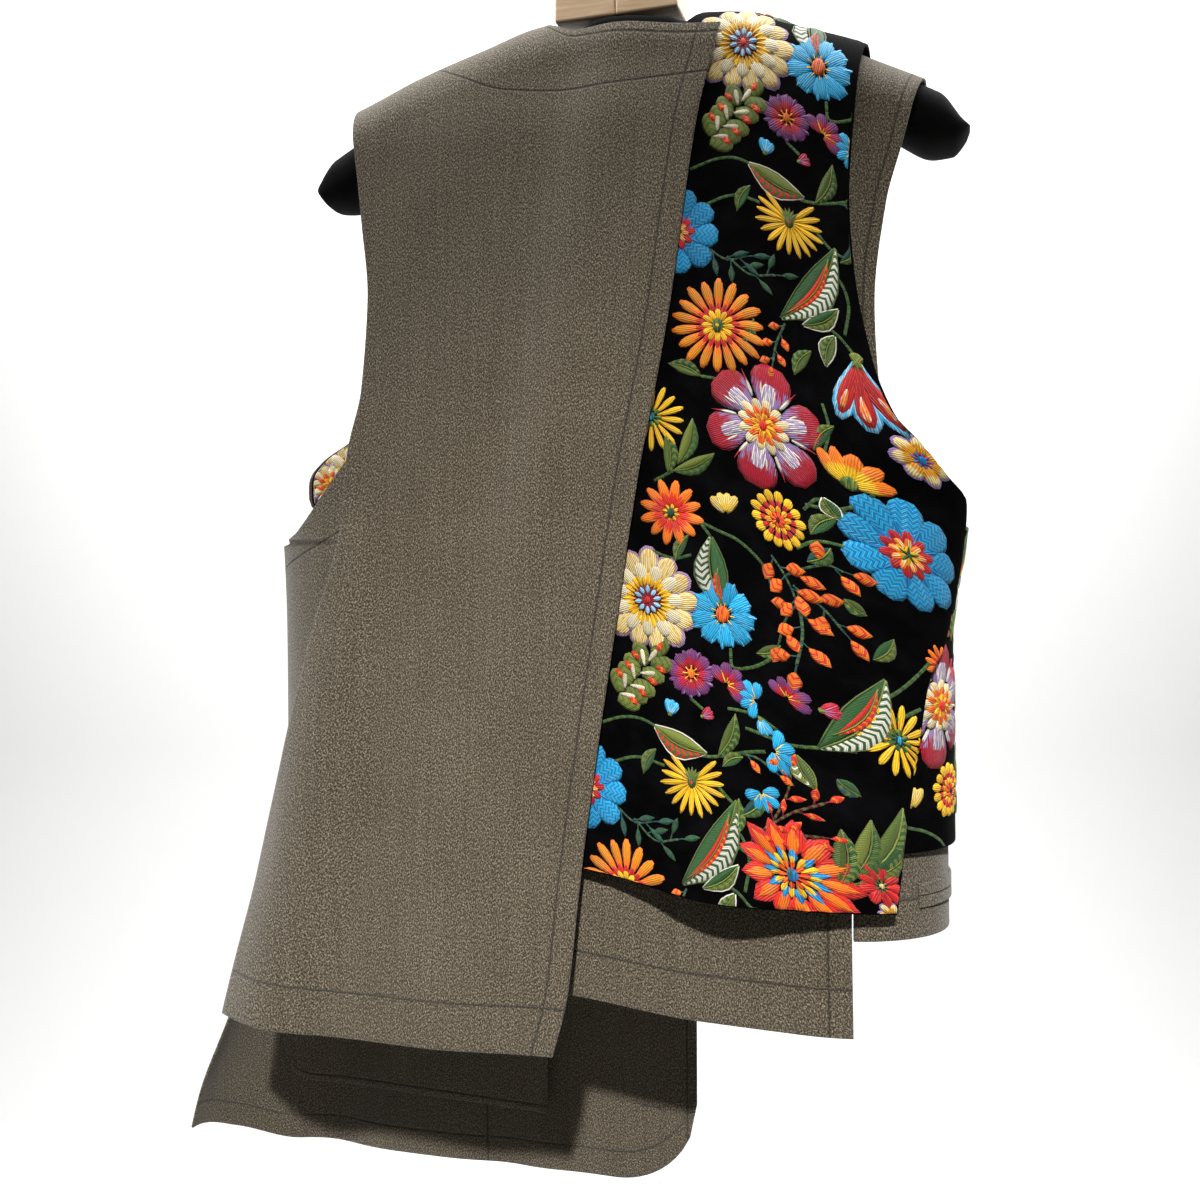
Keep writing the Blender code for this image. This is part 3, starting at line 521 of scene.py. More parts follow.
def outerLift(girth, path):
    # lies on the under back, and on the right back where that runs under it; swollen along its turned edges
    drop = dropAt(girth, path)
    rim = read(leftBack["rightEdge"], "x", drop)
    over = ease(girth, rim - 0.105, rim - 0.060)
    free = read(standoff, "outer", drop) + foldHeight(leftBack["folds"], girth, drop)
    above = np.maximum(velvetLift(girth, path) + bodyForm["cloth"] + bodyForm["stitchRoom"], free)
    return free + (above - free) * over + slub(girth, path, 0.0008)


def leftBackLines(girth, path, drop):
    part = leftBack
    return dict(lineA=hem(part["hem"], -1)(girth) - path - part["hemDepth"],
                lineB=edge(part["rightEdge"], -1)(drop) - girth - part["edgeDepth"],
                lineC=np.where(girth > -0.062, path - neck(part["neck"])(girth) - part["neckDepth"], 1.0),
                lineD=drop - read(part["facing"], "drop", girth) + np.where(girth < -0.150, 1.0, 0.0))


def underBackLines(girth, path, drop):
    part = underBack
    depth = np.where(drop > 0.6, part["edgeDepth"], part["armholeDepth"])
    return dict(lineA=hem(part["hem"], -1)(girth) - path - part["hemDepth"],
                lineB=edge(part["rightEdge"], -1)(drop) - girth - depth,
                lineC=np.where(girth < -0.150, drop - read(part["dart"], "drop", girth), 1.0))


grid = clothGrid(edge(leftBack["freeEdge"], -1), edge(leftBack["rightEdge"], -1),
                 (neck(leftBack["neck"]), rollEnd, level(0.360), level(0.520), hem(leftBack["hem"], -1)),
                 (26, 40, 36, 62), 72)
leftBackCloth = clothPiece("left_backCloth", [grid], outerLift, -1, wool, leftBackLines)

velvetLeft = dict(leftBack["rightEdge"], x=leftBack["rightEdge"]["x"] - rightBack["under"])
grid = clothGrid(edge(velvetLeft, -1), edge(rightBack["freeEdge"], -1, 0.006),
                 (neck(rightBack["neck"]), rollEnd, level(0.350), level(0.530), hem(rightBack["hem"], -1)),
                 (26, 38, 44, 40), 48)
rightBackCloth = clothPiece("right_backCloth", [grid], velvetLift, -1, velvet)

grid = clothGrid(edge(underBack["leftEdge"], -1), edge(underBack["rightEdge"], -1),
                 (neck(underBack["neck"]), rollEnd, level(0.350), level(0.473), hem(underBack["hem"], -1)),
                 (24, 36, 26, 56), 96)
underBackCloth = clothPiece("under_backCloth", [grid], lambda g, p: 0 * g, -1, wool, underBackLines)
print("backs made")


leftFront = dict(
    armhole=table("drop x",
                  (0.150, -0.1960), (0.180, -0.1820), (0.220, -0.1750), (0.300, -0.1780), (0.350, -0.2000),
                  (0.381, -0.2260), (0.402, -0.2500), (0.416, -0.2560), (0.434, -0.2535), (0.450, -0.2450),
                  (0.463, -0.2480), (0.473, -0.4000)),
    neckEdge=table("drop x",
                   (0.120, -0.0570), (0.180, -0.0420), (0.260, -0.0110), (0.330, 0.0220), (0.365, 0.0370),
                   (0.400, 0.0380), (0.960, 0.0380)),
    hem=table("x drop", (-0.346, 0.914), (-0.330, 0.929), (-0.285, 0.947), (-0.129, 0.943), (-0.048, 0.941),
              (0.038, 0.939)),
    folds=table("x drop xEnd dropEnd width height",
                (-0.170, 0.560, -0.265, 0.960, 0.030, 0.0060),
                (-0.060, 0.600, -0.110, 0.960, 0.030, 0.0050)),
    frontEdge=0.038, corner=0.062, hemDepth=0.020, edgeDepth=0.007, innerWall=0.0015)


buttonForm = dict(x=0.010, spacing=0.085, lowest=0.883, radius=0.009, holes=0.0021,
                  turned=((0.0, 0.0023), (0.0050, 0.0023), (0.0060, 0.0027), (0.0068, 0.0030),
                          (0.0082, 0.0029), (0.0089, 0.0022),
                          (0.0090, 0.0014), (0.0086, 0.0004), (0.0078, 0.0), (0.0, 0.0)))


def startFront(girth):
    return np.full(np.shape(girth), bodyForm["shoulderSeam"] + bodyForm["seamGap"])


def leftFrontLift(girth, path):
    # laps over both layers of the right front
    drop = dropAt(girth, path)
    layer = bodyForm["cloth"] + bodyForm["layerGap"]
    away = 2 * layer * ease(girth, -0.100, -0.045) * ease(drop, 0.15, 0.26)
    return away + foldHeight(leftFront["folds"], girth, drop)


def leftFrontHem(girth):
    # straight hem less the round corner: corner - sqrt(corner^2 - inside^2)
    corner = leftFront["corner"]
    inside = np.clip(girth - (leftFront["frontEdge"] - corner), 0, corner)
    return hem(leftFront["hem"], 1)(girth) - corner + np.sqrt(corner ** 2 - inside ** 2)


def leftFrontLines(girth, path, drop):
    part = leftFront
    return dict(lineA=leftFrontHem(girth) - path - part["hemDepth"],
                lineB=edge(part["neckEdge"], 1)(drop) - girth - part["edgeDepth"],
                lineC=np.where(np.abs(girth - 0.004) < 0.010, drop - buttonForm["lowest"], 1.0),
                lineD=girth + 0.126 + np.where(drop < 0.79, 1.0, 0.0))


def innerHem(girth):
    corner = 0.022
    inside = np.clip(girthAt(-0.293, 0.87, 1) + corner - girth, 0, corner)
    return pathAt(girth, 0.896) - corner + np.sqrt(corner ** 2 - inside ** 2)


def inwards(gap):
    return lambda girth, path: np.full(girth.shape, -leftFront["innerWall"] - gap)


grid = clothGrid(edge(leftFront["armhole"], 1), edge(leftFront["neckEdge"], 1),
                 (startFront, rollEnd, level(0.330), level(0.473), leftFrontHem), (20, 28, 28, 96), 76)
leftFrontCloth = clothPiece("left_frontCloth", [grid], leftFrontLift, 1, woolPaintedShade, leftFrontLines)

grid = clothGrid(lambda drop: girthAt(-0.293, drop, 1), lambda drop: girthAt(-0.075, drop, 1),
                 (level(0.770), innerHem), (30,), 48)
innerPanelCloth = clothPiece("left_front_inner_panelCloth", [grid], inwards(bodyForm["layerGap"]), 1,
                             woolPaintedShade,
                             lambda g, p, d: dict(lineA=innerHem(g) - p - 0.006),
                             wall=leftFront["innerWall"])

grid = clothGrid(edge(leftFront["armhole"], 1), lambda drop: girthAt(-0.196, drop, 1) + 0 * drop,
                 (level(0.360), level(0.455)), (26,), 22)
facingCloth = clothPiece("left_armhole_facingCloth", [grid], inwards(bodyForm["facingGap"]), 1, velvet,
                         wall=leftFront["innerWall"])
print("left front made")


rightFront = dict(
    armhole=table("drop x",
                  (0.168, 0.2030), (0.190, 0.1740), (0.220, 0.1540), (0.260, 0.1460), (0.300, 0.1450),
                  (0.360, 0.1520), (0.400, 0.1680), (0.430, 0.1860), (0.455, 0.2070), (0.466, 0.4000)),
    neckEdge=table("drop x",
                   (0.120, 0.0750), (0.180, 0.0580), (0.260, 0.0260), (0.330, -0.0120), (0.370, -0.0290),
                   (0.400, -0.0300), (0.960, -0.0300)),
    armholeLow=0.466, armholeBack=0.428, hem=0.706, overlayHem=0.653,
    overlayBack=table("drop x", (0.40, 0.170), (0.50, 0.150), (0.70, 0.138)))


backRim = dict(underBack["rightEdge"], x=underBack["rightEdge"]["x"] + 2 * bodyForm["seamGap"])


def rightSide(drop):
    return girthAt(0.4, drop, 1)


def overlayLift(girth, path):
    return bodyForm["cloth"] + bodyForm["layerGap"] + 0.0016 * ease(np.abs(girth), 0.100, 0.160) + 0 * path


def sideTop(girth):
    # the armhole's foot, rising from the side to the under back's rim as t^1.6
    part = rightFront
    side = rightSide(part["armholeLow"])
    t = np.clip((girth - side) / (edge(backRim, 1, around=True)(part["armholeBack"]) - side), 0, 1)
    return pathAt(girth, part["armholeLow"] + (part["armholeBack"] - part["armholeLow"]) * t ** 1.6)


def rightFrontGrids(reach, low, counts):
    part = rightFront
    front = clothGrid(edge(part["neckEdge"], 1), edge(part["armhole"], 1),
                      (startFront, rollEnd, level(0.330), level(0.430), level(part["armholeLow"])) + low,
                      (18, 28, 22, 14) + counts, 44)
    return [front, clothGrid(rightSide, edge(reach, 1, around=True), (sideTop,) + low, counts, 40)]


grids = rightFrontGrids(backRim, (level(rightFront["overlayHem"]), level(rightFront["hem"])), (44, 12))
rightFrontCloth = clothPiece("right_frontCloth", grids, lambda g, p: 0 * g, 1, wool,
                             lambda g, p, d: dict(lineA=d - rightFront["hem"] + 0.024))

grids = rightFrontGrids(rightFront["overlayBack"], (level(rightFront["overlayHem"]),), (44,))
overlayCloth = clothPiece("right_front_overlayCloth", grids, overlayLift, 1, velvet)

pocket = dict(drop=0.680, lipHeight=0.0075, length=0.125, wall=0.0012, end=0.195)
start = girthAt(pocket["end"], pocket["drop"], 1, around=True)
for name, low, high in (("pocket_welt_upper", -pocket["lipHeight"], 0.0),
                        ("pocket_welt_lower", bodyForm["seamGap"], pocket["lipHeight"])):
    grid = clothGrid(lambda drop: start - pocket["length"] + 0 * drop, lambda drop: start + 0 * drop,
                     (level(pocket["drop"] + low), level(pocket["drop"] + high)), (4,), 48)
    lip = clothPiece(name + "Cloth", [grid], lambda g, p: 0 * g + bodyForm["cloth"] + bodyForm["seamGap"],
                     1, wool,
                     wall=pocket["wall"])
print("right front made")


# embroidery: stitch bundles in a flat plane, a to the right and b down as seen from outside, in metres

threadColour = dict(
    white=(0.74, 0.70, 0.60), cream=(0.78, 0.62, 0.27), tan=(0.40, 0.24, 0.10), yellow=(0.90, 0.53, 0.012),
    gold=(0.66, 0.27, 0.008), orange=(0.90, 0.19, 0.008), red=(0.68, 0.026, 0.012),
    crimson=(0.42, 0.008, 0.026),
    wine=(0.10, 0.004, 0.010), lilac=(0.34, 0.21, 0.44), purple=(0.16, 0.030, 0.14), ice=(0.36, 0.60, 0.78),
    sky=(0.020, 0.40, 0.70), blue=(0.006, 0.17, 0.44), olive=(0.165, 0.205, 0.030),
    green=(0.026, 0.095, 0.022),
    moss=(0.085, 0.130, 0.020), teal=(0.010, 0.066, 0.056))
outline = dict(
    spoon=(0.34, 0.52, 0.74, 0.93, 1.00, 0.88, 0.35), lobe=(0.62, 0.80, 0.95, 1.00, 0.97, 0.80, 0.34),
    blade=(0.70, 0.95, 1.00, 0.85, 0.60, 0.32, 0.05), leaf=(0.10, 0.55, 0.88, 1.00, 0.86, 0.50, 0.05),
    heart=(0.30, 0.54, 0.80, 0.99, 1.06, 0.94, 0.50), ball=(0.34, 0.76, 0.95, 1.00, 0.95, 0.76, 0.34),
    stem=(0.80, 1.00, 1.00, 1.00, 1.00, 1.00, 0.80))
grains = dict(feather=0.0, zigzag=1.0, along=2.0)
stations = np.linspace(0, 1, 7)
embroideryLook = dict(stitchLow=0.0004, stitchHigh=0.0013, levelStep=0.00035, sunk=0.0003, margin=0.0012,
                      strand=0.0012, stripe=0.0021, zigzag=0.0026, relief=0.0005,
                      across=np.array([-1.0, -0.62, 0.0, 0.62, 1.0]),
                      arch=np.array([0.0, 0.80, 1.0, 0.80, 0.0]),
                      ends=np.array([0.45, 0.86, 1.0, 1.0, 1.0, 0.86, 0.45]), plump=0.42, shown=0.42)


def bundle(middle, half, colour, second=None, blend=-0.2, grain="along", level=0, rise=1.0):
    # n stitches, each seven stations long: middle lines, half widths, two thread colours and how they mix
    count = len(middle)
    spread = np.ones((count, 1))
    return dict(middle=middle, half=spread * half, blend=spread * np.broadcast_to(blend, (7,)),
                first=spread * threadColour[colour], second=spread * threadColour[second or colour],
                grain=spread[:, 0] * grains[grain], level=spread[:, 0] * level, rise=spread[:, 0] * rise)


def joined(*bundles):
    return {key: np.concatenate([b[key] for b in bundles]) for key in bundles[0]}


def placed(stitches, at, size=1.0, turn=0.0):
    # turned clockwise by an angle in degrees, scaled, and moved to a point
    c, s = math.cos(math.radians(turn)), math.sin(math.radians(turn))
    middle = stitches["middle"] @ np.array([[c, s], [-s, c]]) * size + np.asarray(at, dtype=float)
    return dict(stitches, middle=middle, half=stitches["half"] * size)


def petals(count, inner, outer, width, shape, colour, second=None, blend=-0.2, grain="along", level=0,
           arc=360.0, turn=0.0, rise=1.0):
    # middle line: (inner + (outer - inner) s) x (sin angle, -cos angle); half width: width x outline
    whole = arc >= 360.0
    step = np.arange(count) * 360.0 / count if whole else np.linspace(-arc / 2, arc / 2, count)
    angle = np.radians(turn + step)
    uneven = 1 + 0.035 * np.sin(np.arange(count) * 2.4 + 7 * outer)
    radius = (inner + (outer * uneven[:, None] - inner) * stations)
    middle = radius[..., None] * np.stack((np.sin(angle), -np.cos(angle)), axis=-1)[:, None, :]
    return bundle(middle, width * np.array(outline[shape]), colour, second, blend, grain, level, rise)


def dot(radius, colour, level=3, second=None, at=(0.0, 0.0)):
    # a round knot: one stitch across its own width
    middle = np.stack((0 * stations, (stations - 0.5) * 2 * radius), axis=-1)[None] + np.asarray(at)
    return bundle(middle, radius * np.array(outline["ball"]), colour, second, 0.45 if second else -0.2,
                  level=level, rise=1.1)


def leaf(base, tip, width, left="green", right="green", stripe="white", bend=0.10, rib="olive", level=0,
         stripes=0.5, edging=None):
    # a bent rib, P = base + (tip - base) s + n bend sin(pi s), and half a leaf on each side of it
    base, tip = np.asarray(base, dtype=float), np.asarray(tip, dtype=float)
    run = tip - base
    side = np.array([-run[1], run[0]]) / np.hypot(*run)
    bow = bend * np.hypot(*run) * np.sin(math.pi * stations)
    line = base + run * stations[:, None] + side * bow[:, None]
    wide = width / 2 * np.array(outline["leaf"])
    halves = [bundle((line - side * wide[:, None] * 0.52)[None], wide * 0.50, left, None, -0.2, "feather",
                     level),
              bundle((line + side * wide[:, None] * 0.52)[None], wide * 0.50, right, stripe, stripes,
                     "feather", level),
              bundle(line[None], 0.00045 + 0 * stations, rib, level=level + 2)]
    if edging:
        rim = side * wide[:, None]
        halves += [bundle((line + rim * sign)[None], 0.0005 + 0 * stations, edging, level=level + 1)
                   for sign in (-1.0, 1.0)]
    return joined(*halves)


def vine(points, width=0.0012, colour="green", second="moss"):
    # a smooth line through the points (Catmull-Rom), cut into stitches of seven stations
    p = np.array(points, dtype=float)
    p = np.concatenate((2 * p[:1] - p[1:2], p, 2 * p[-1:] - p[-2:-1]))
    pieces = 2 * (len(points) - 1)
    t = np.linspace(0, len(points) - 1, pieces * 6 + 1)
    i = np.minimum(t.astype(int), len(points) - 2)
    f = (t - i)[:, None]
    a, b, c, d = p[i], p[i + 1], p[i + 2], p[i + 3]
    square = 2 * a - 5 * b + 4 * c - d
    cube = 3 * b - a - 3 * c + d
    line = 0.5 * (2 * b + (c - a) * f + square * f ** 2 + cube * f ** 3)
    return bundle(line[np.arange(pieces)[:, None] * 6 + np.arange(7)], width + 0 * stations, colour, second,
                  0.45, "feather")


def sprig(points, length, width, colour, second, count, lean=50.0, shape="leaf", stem="teal", stalk=0.35):
    # leaflets on short stalks, left and right by turns along a stem, leaning forward, and one at its end
    p = np.array(points, dtype=float)
    t = (np.arange(count) + 0.35) / count * (len(p) - 1)
    i = np.minimum(t.astype(int), len(p) - 2)
    root = p[i] + (p[i + 1] - p[i]) * (t - i)[:, None]
    onward = p[i + 1] - p[i]
    heading = np.degrees(np.arctan2(onward[:, 0], -onward[:, 1]))
    turns = np.append(heading + lean * (-1.0) ** np.arange(count), heading[-1])
    parts = [vine(points, 0.0009, stem, "moss")]
    for at, turn in zip(np.append(root, p[-1:], axis=0), turns):
        parts.append(placed(petals(1, stalk, 1.0 + stalk, width / length / 2, shape, colour, second, 0.32,
                                   "feather", level=1), at, length, turn))
        parts.append(placed(petals(1, 0.0, stalk + 0.1, 0.0006 / length, "stem", stem), at, length, turn))
    return joined(*parts)


def above(stitches, levels):
    return dict(stitches, level=stitches["level"] + levels)


fade = np.array([-0.2, -0.1, 0.1, 0.45, 0.8, 1.1, 1.2])
motifs = dict(
    rosette=joined(
        petals(13, 0.50, 1.04, 0.262, "lobe", "lilac", "tan", 0.3, rise=0.5),
        petals(13, 0.50, 0.99, 0.220, "lobe", "cream", "gold", 0.32, level=1),
        petals(11, 0.36, 0.78, 0.215, "lobe", "lilac", level=2, turn=16, rise=0.5),
        petals(11, 0.36, 0.74, 0.175, "lobe", "cream", "white", 0.5, level=3, turn=16),
        petals(26, 0.25, 0.54, 0.066, "spoon", "yellow", "gold", 0.35, level=4),
        petals(10, 0.02, 0.30, 0.110, "lobe", "wine", "crimson", 0.3, level=5, rise=0.5),
        petals(10, 0.13, 0.28, 0.058, "ball", "ice", "sky", 0.25, level=6),
        dot(0.07, "red", 7)),
    blueSmall=joined(
        petals(9, 0.26, 1.00, 0.330, "heart", "sky", "blue", 0.30),
        petals(18, 0.50, 1.04, 0.080, "spoon", "sky", "ice", 0.35, level=1, turn=8),
        petals(9, 0.22, 0.66, 0.050, "spoon", "yellow", "gold", 0.2, level=2),
        dot(0.25, "orange", 3, "red")),
    purple=joined(
        petals(8, 0.24, 1.00, 0.345, "heart", "crimson", "purple", fade),
        petals(16, 0.66, 1.05, 0.100, "spoon", "lilac", "purple", 0.6, level=1),
        petals(8, 0.15, 0.60, 0.066, "spoon", "yellow", "gold", 0.2, level=2),
        dot(0.20, "orange", 3)),
    purpleHalf=joined(
        petals(5, 0.10, 1.00, 0.300, "heart", "crimson", "purple", fade, arc=170),
        petals(5, 0.1, 0.70, 0.075, "spoon", "yellow", "gold", 0.2, level=2, arc=120)),
    blueHalf=joined(
        petals(5, 0.10, 1.00, 0.300, "heart", "sky", "blue", 0.3, arc=170),
        petals(5, 0.1, 0.70, 0.060, "spoon", "yellow", "gold", 0.2, level=2, arc=120)),
    budBlue=joined(petals(3, 0.0, 1.0, 0.34, "lobe", "sky", "ice", 0.35, arc=50),
        petals(3, -0.2, 0.35, 0.16, "blade", "olive", level=1, arc=60)),
    budRed=joined(petals(3, 0.0, 1.0, 0.32, "lobe", "crimson", "lilac", 0.30, arc=50),
        petals(3, -0.2, 0.35, 0.16, "blade", "olive", level=1, arc=60)),
    fanDaisy=joined(
        petals(15, 0.12, 1.00, 0.100, "spoon", "yellow", "gold", 0.28, arc=270, turn=180),
        petals(5, 0.02, 0.42, 0.095, "blade", "olive", "moss", 0.4, level=1, arc=70),
        dot(0.16, "green", 2, "moss"),
        dot(0.08, "red", 4)),
    bigDaisy=joined(
        petals(18, 0.30, 1.00, 0.118, "spoon", "orange", "gold",
               np.array([-0.2, 0.1, 0.3, 0.5, 0.6, 0.5, 0.2])),
        petals(18, 0.26, 0.58, 0.075, "blade", "red", "crimson", 0.3, level=1),
        petals(12, 0.10, 0.36, 0.080, "spoon", "yellow", "orange", 0.25, level=2),
        dot(0.15, "green", 4, "olive"),
        dot(0.06, "yellow", 6)),
    sixPetal=joined(
        petals(6, 0.24, 1.00, 0.350, "heart", "lilac", "crimson",
               fade + np.array([0, 0.1, 0.2, 0.15, 0.1, 0, 0])),
        petals(6, 0.30, 0.78, 0.170, "lobe", "white", "lilac", 0.50, level=1),
        petals(18, 0.46, 0.88, 0.034, "blade", "white", "crimson", fade, level=2, turn=7),
        petals(12, 0.20, 0.43, 0.095, "lobe", "cream", "white", 0.4, level=3),
        petals(10, 0.14, 0.33, 0.080, "lobe", "orange", "red", 0.4, level=4),
        petals(8, 0.05, 0.21, 0.065, "lobe", "yellow", "red", 0.35, level=5),
        dot(0.085, "red", 7)),
    bell=joined(
        petals(3, 0.00, 1.03, 0.205, "spoon", "ice", "sky", 0.5, arc=46, rise=0.6),
        petals(3, 0.06, 0.94, 0.150, "spoon", "red", "crimson", 0.45, level=1, arc=46),
        petals(3, 0.50, 0.86, 0.070, "spoon", "orange", "white", 0.35, level=3, arc=46),
        petals(3, -0.12, 0.16, 0.07, "blade", "olive", level=2, arc=80)),
    paisley=joined(
        sprig(((0.0, 0.95), (0.06, 0.30), (0.0, -0.60)), 0.56, 0.46, "olive", "moss", 9, 60, "lobe",
              "olive", 0.05),
        above(sprig(((0.0, 0.85), (0.06, 0.30), (0.0, -0.40)), 0.40, 0.17, "white", "cream", 6, 44, "spoon",
                    "olive", 0.05), 2),
        above(sprig(((0.0, 0.70), (0.06, 0.10), (0.0, -0.60)), 0.24, 0.20, "red", "orange", 7, 84, "lobe",
                    "olive", 0.9), 2)),
    tulip=joined(
        petals(5, 0.05, 1.00, 0.240, "lobe", "yellow", "orange", fade, arc=120),
        petals(4, 0.10, 0.66, 0.085, "spoon", "white", "red", 0.4, level=1, arc=70),
        dot(0.21, "olive", 2, "green")),
    creamSmall=joined(
        petals(7, 0.24, 1.02, 0.400, "lobe", "lilac", rise=0.5),
        petals(7, 0.24, 0.93, 0.330, "lobe", "gold", "cream", fade, level=1),
        petals(9, 0.10, 0.44, 0.110, "spoon", "red", "blue", 0.4, level=2),
        dot(0.17, "blue", 4)),
    orangeSmall=joined(
        petals(12, 0.20, 1.00, 0.180, "lobe", "red", "orange", fade + 0.15),
        petals(12, 0.15, 0.55, 0.060, "blade", "crimson", "wine", 0.4, level=1),
        petals(8, 0.06, 0.27, 0.075, "spoon", "gold", "yellow", 0.4, level=2),
        dot(0.15, "teal", 4, "green")),
    yellowBell=joined(
        petals(4, 0.05, 1.00, 0.300, "lobe", "cream", "yellow", 0.5, arc=80),
        petals(3, 0.35, 0.80, 0.090, "ball", "red", "orange", 0.3, level=1, arc=50)),
    target=joined(
        petals(14, 0.60, 1.00, 0.190, "lobe", "yellow", "gold", 0.30),
        petals(14, 0.42, 0.74, 0.120, "lobe", "crimson", "red", 0.4, level=1),
        petals(10, 0.24, 0.50, 0.115, "lobe", "yellow", "orange", 0.35, level=2),
        petals(8, 0.05, 0.30, 0.090, "lobe", "red", "orange", 0.3, level=3),
        dot(0.10, "wine", 5)),
    skyFlower=joined(
        petals(9, 0.25, 1.00, 0.300, "heart", "sky", "blue", 0.42, "zigzag"),
        petals(9, 0.20, 0.62, 0.085, "blade", "blue", "sky", 0.3, level=1, turn=20),
        petals(10, 0.16, 0.44, 0.125, "lobe", "crimson", "red", 0.45, level=2),
        petals(9, 0.10, 0.32, 0.090, "lobe", "orange", "cream", 0.4, level=3),
        petals(6, 0.02, 0.21, 0.060, "lobe", "yellow", "gold", 0.3, level=4),
        petals(5, 0.00, 0.17, 0.035, "blade", "green", level=6)),
    dahlia=joined(
        petals(13, 0.34, 1.02, 0.225, "leaf", "red", "crimson", 0.35, rise=0.8),
        petals(13, 0.34, 0.90, 0.130, "leaf", "orange", "red", 0.25, level=1),
        petals(11, 0.26, 0.56, 0.085, "blade", "blue", "sky", 0.4, level=2),
        petals(14, 0.16, 0.42, 0.060, "spoon", "yellow", "gold", 0.35, level=3),
        petals(10, 0.08, 0.26, 0.050, "spoon", "red", "orange", 0.3, level=4),
        dot(0.12, "blue", 5, "green")),
    daisy=joined(
        petals(16, 0.20, 1.00, 0.105, "spoon", "gold", "yellow", 0.72),
        petals(8, 0.08, 0.32, 0.080, "spoon", "olive", "green", 0.5, level=1),
        dot(0.12, "teal", 3, "sky")),
    redSmall=joined(
        petals(9, 0.22, 1.00, 0.260, "heart", "red", "crimson", 0.45),
        petals(8, 0.08, 0.36, 0.085, "spoon", "olive", "green", 0.4, level=1),
        dot(0.12, "cream", 3)))


def flat(*points):
    # places given as x and drop on the right back, as girth and path
    x, drop = np.array(points, dtype=float).T
    girth = girthAt(x, drop, -1)
    return np.stack((girth, pathAt(girth, drop)), axis=-1)


# one repeat of the pattern: kind, x, drop, size, turn; then leaves, vines and sprigs
repeatFlowers = (
    ("rosette", 0.092, 0.155, 0.0310, 0), ("paisley", 0.086, 0.200, 0.0250, 38),
    ("blueSmall", 0.139, 0.178, 0.0195, 12), ("purple", 0.120, 0.207, 0.0140, 0),
    ("purpleHalf", 0.142, 0.221, 0.0130, 40), ("blueHalf", 0.160, 0.234, 0.0110, -80),
    ("budBlue", 0.107, 0.227, 0.0085, 10), ("budRed", 0.128, 0.235, 0.0070, 60),
    ("skyFlower", 0.052, 0.272, 0.0270, 14), ("fanDaisy", 0.122, 0.272, 0.0205, 0),
    ("bigDaisy", 0.079, 0.333, 0.0290, 0), ("bell", 0.163, 0.360, 0.0390, 172),
    ("sixPetal", 0.108, 0.396, 0.0370, 8), ("daisy", 0.038, 0.388, 0.0210, 0),
    ("tulip", 0.157, 0.432, 0.0200, 14), ("creamSmall", 0.193, 0.419, 0.0135, 0),
    ("orangeSmall", 0.051, 0.448, 0.0200, 9), ("yellowBell", 0.085, 0.448, 0.0120, -8),
    ("target", 0.117, 0.453, 0.0165, 0), ("skyFlower", 0.183, 0.474, 0.0310, 0))
repeatLeaves = (
    (0.097, 0.233, 0.131, 0.258, 0.016, "olive", "moss", "red", 0.45, "white"),
    (0.138, 0.262, 0.148, 0.240, 0.010, "moss", "green", "olive", 0.4, None),
    (0.118, 0.331, 0.150, 0.291, 0.020, "green", "green", "white", 0.55, "moss"),
    (0.121, 0.328, 0.146, 0.297, 0.006, "red", "red", "orange", 0.3, None),
    (0.131, 0.336, 0.152, 0.328, 0.010, "green", "moss", "olive", 0.5, "white"),
    (0.150, 0.344, 0.145, 0.362, 0.010, "moss", "green", "olive", 0.5, "white"),
    (0.069, 0.364, 0.048, 0.355, 0.010, "moss", "green", "olive", 0.4, None),
    (0.055, 0.418, 0.064, 0.390, 0.011, "olive", "green", "moss", 0.5, None),
    (0.052, 0.422, 0.078, 0.412, 0.011, "olive", "green", "moss", 0.5, None),
    (0.049, 0.424, 0.047, 0.398, 0.010, "moss", "green", "olive", 0.5, None),
    (0.076, 0.463, 0.085, 0.507, 0.021, "green", "green", "white", 0.55, "moss"),
    (0.081, 0.482, 0.084, 0.503, 0.006, "red", "red", "orange", 0.3, None),
    (0.143, 0.440, 0.152, 0.454, 0.009, "green", "moss", "olive", 0.5, "white"),
    (0.094, 0.344, 0.101, 0.330, 0.007, "green", "green", "olive", 0.3, None),
    (0.136, 0.352, 0.126, 0.366, 0.009, "moss", "green", "olive", 0.4, None),
    (0.150, 0.452, 0.136, 0.462, 0.009, "green", "moss", "olive", 0.4, None),
    (0.160, 0.206, 0.174, 0.202, 0.008, "moss", "green", "olive", 0.4, None),
    (0.098, 0.247, 0.090, 0.262, 0.008, "green", "moss", "olive", 0.4, None),
    (0.134, 0.478, 0.146, 0.470, 0.009, "teal", "green", "moss", 0.4, None),
    (0.062, 0.462, 0.054, 0.478, 0.008, "green", "moss", "olive", 0.4, None),
    (0.153, 0.300, 0.166, 0.288, 0.009, "teal", "green", "moss", 0.4, None),
    (0.150, 0.398, 0.138, 0.412, 0.009, "green", "moss", "olive", 0.4, None))
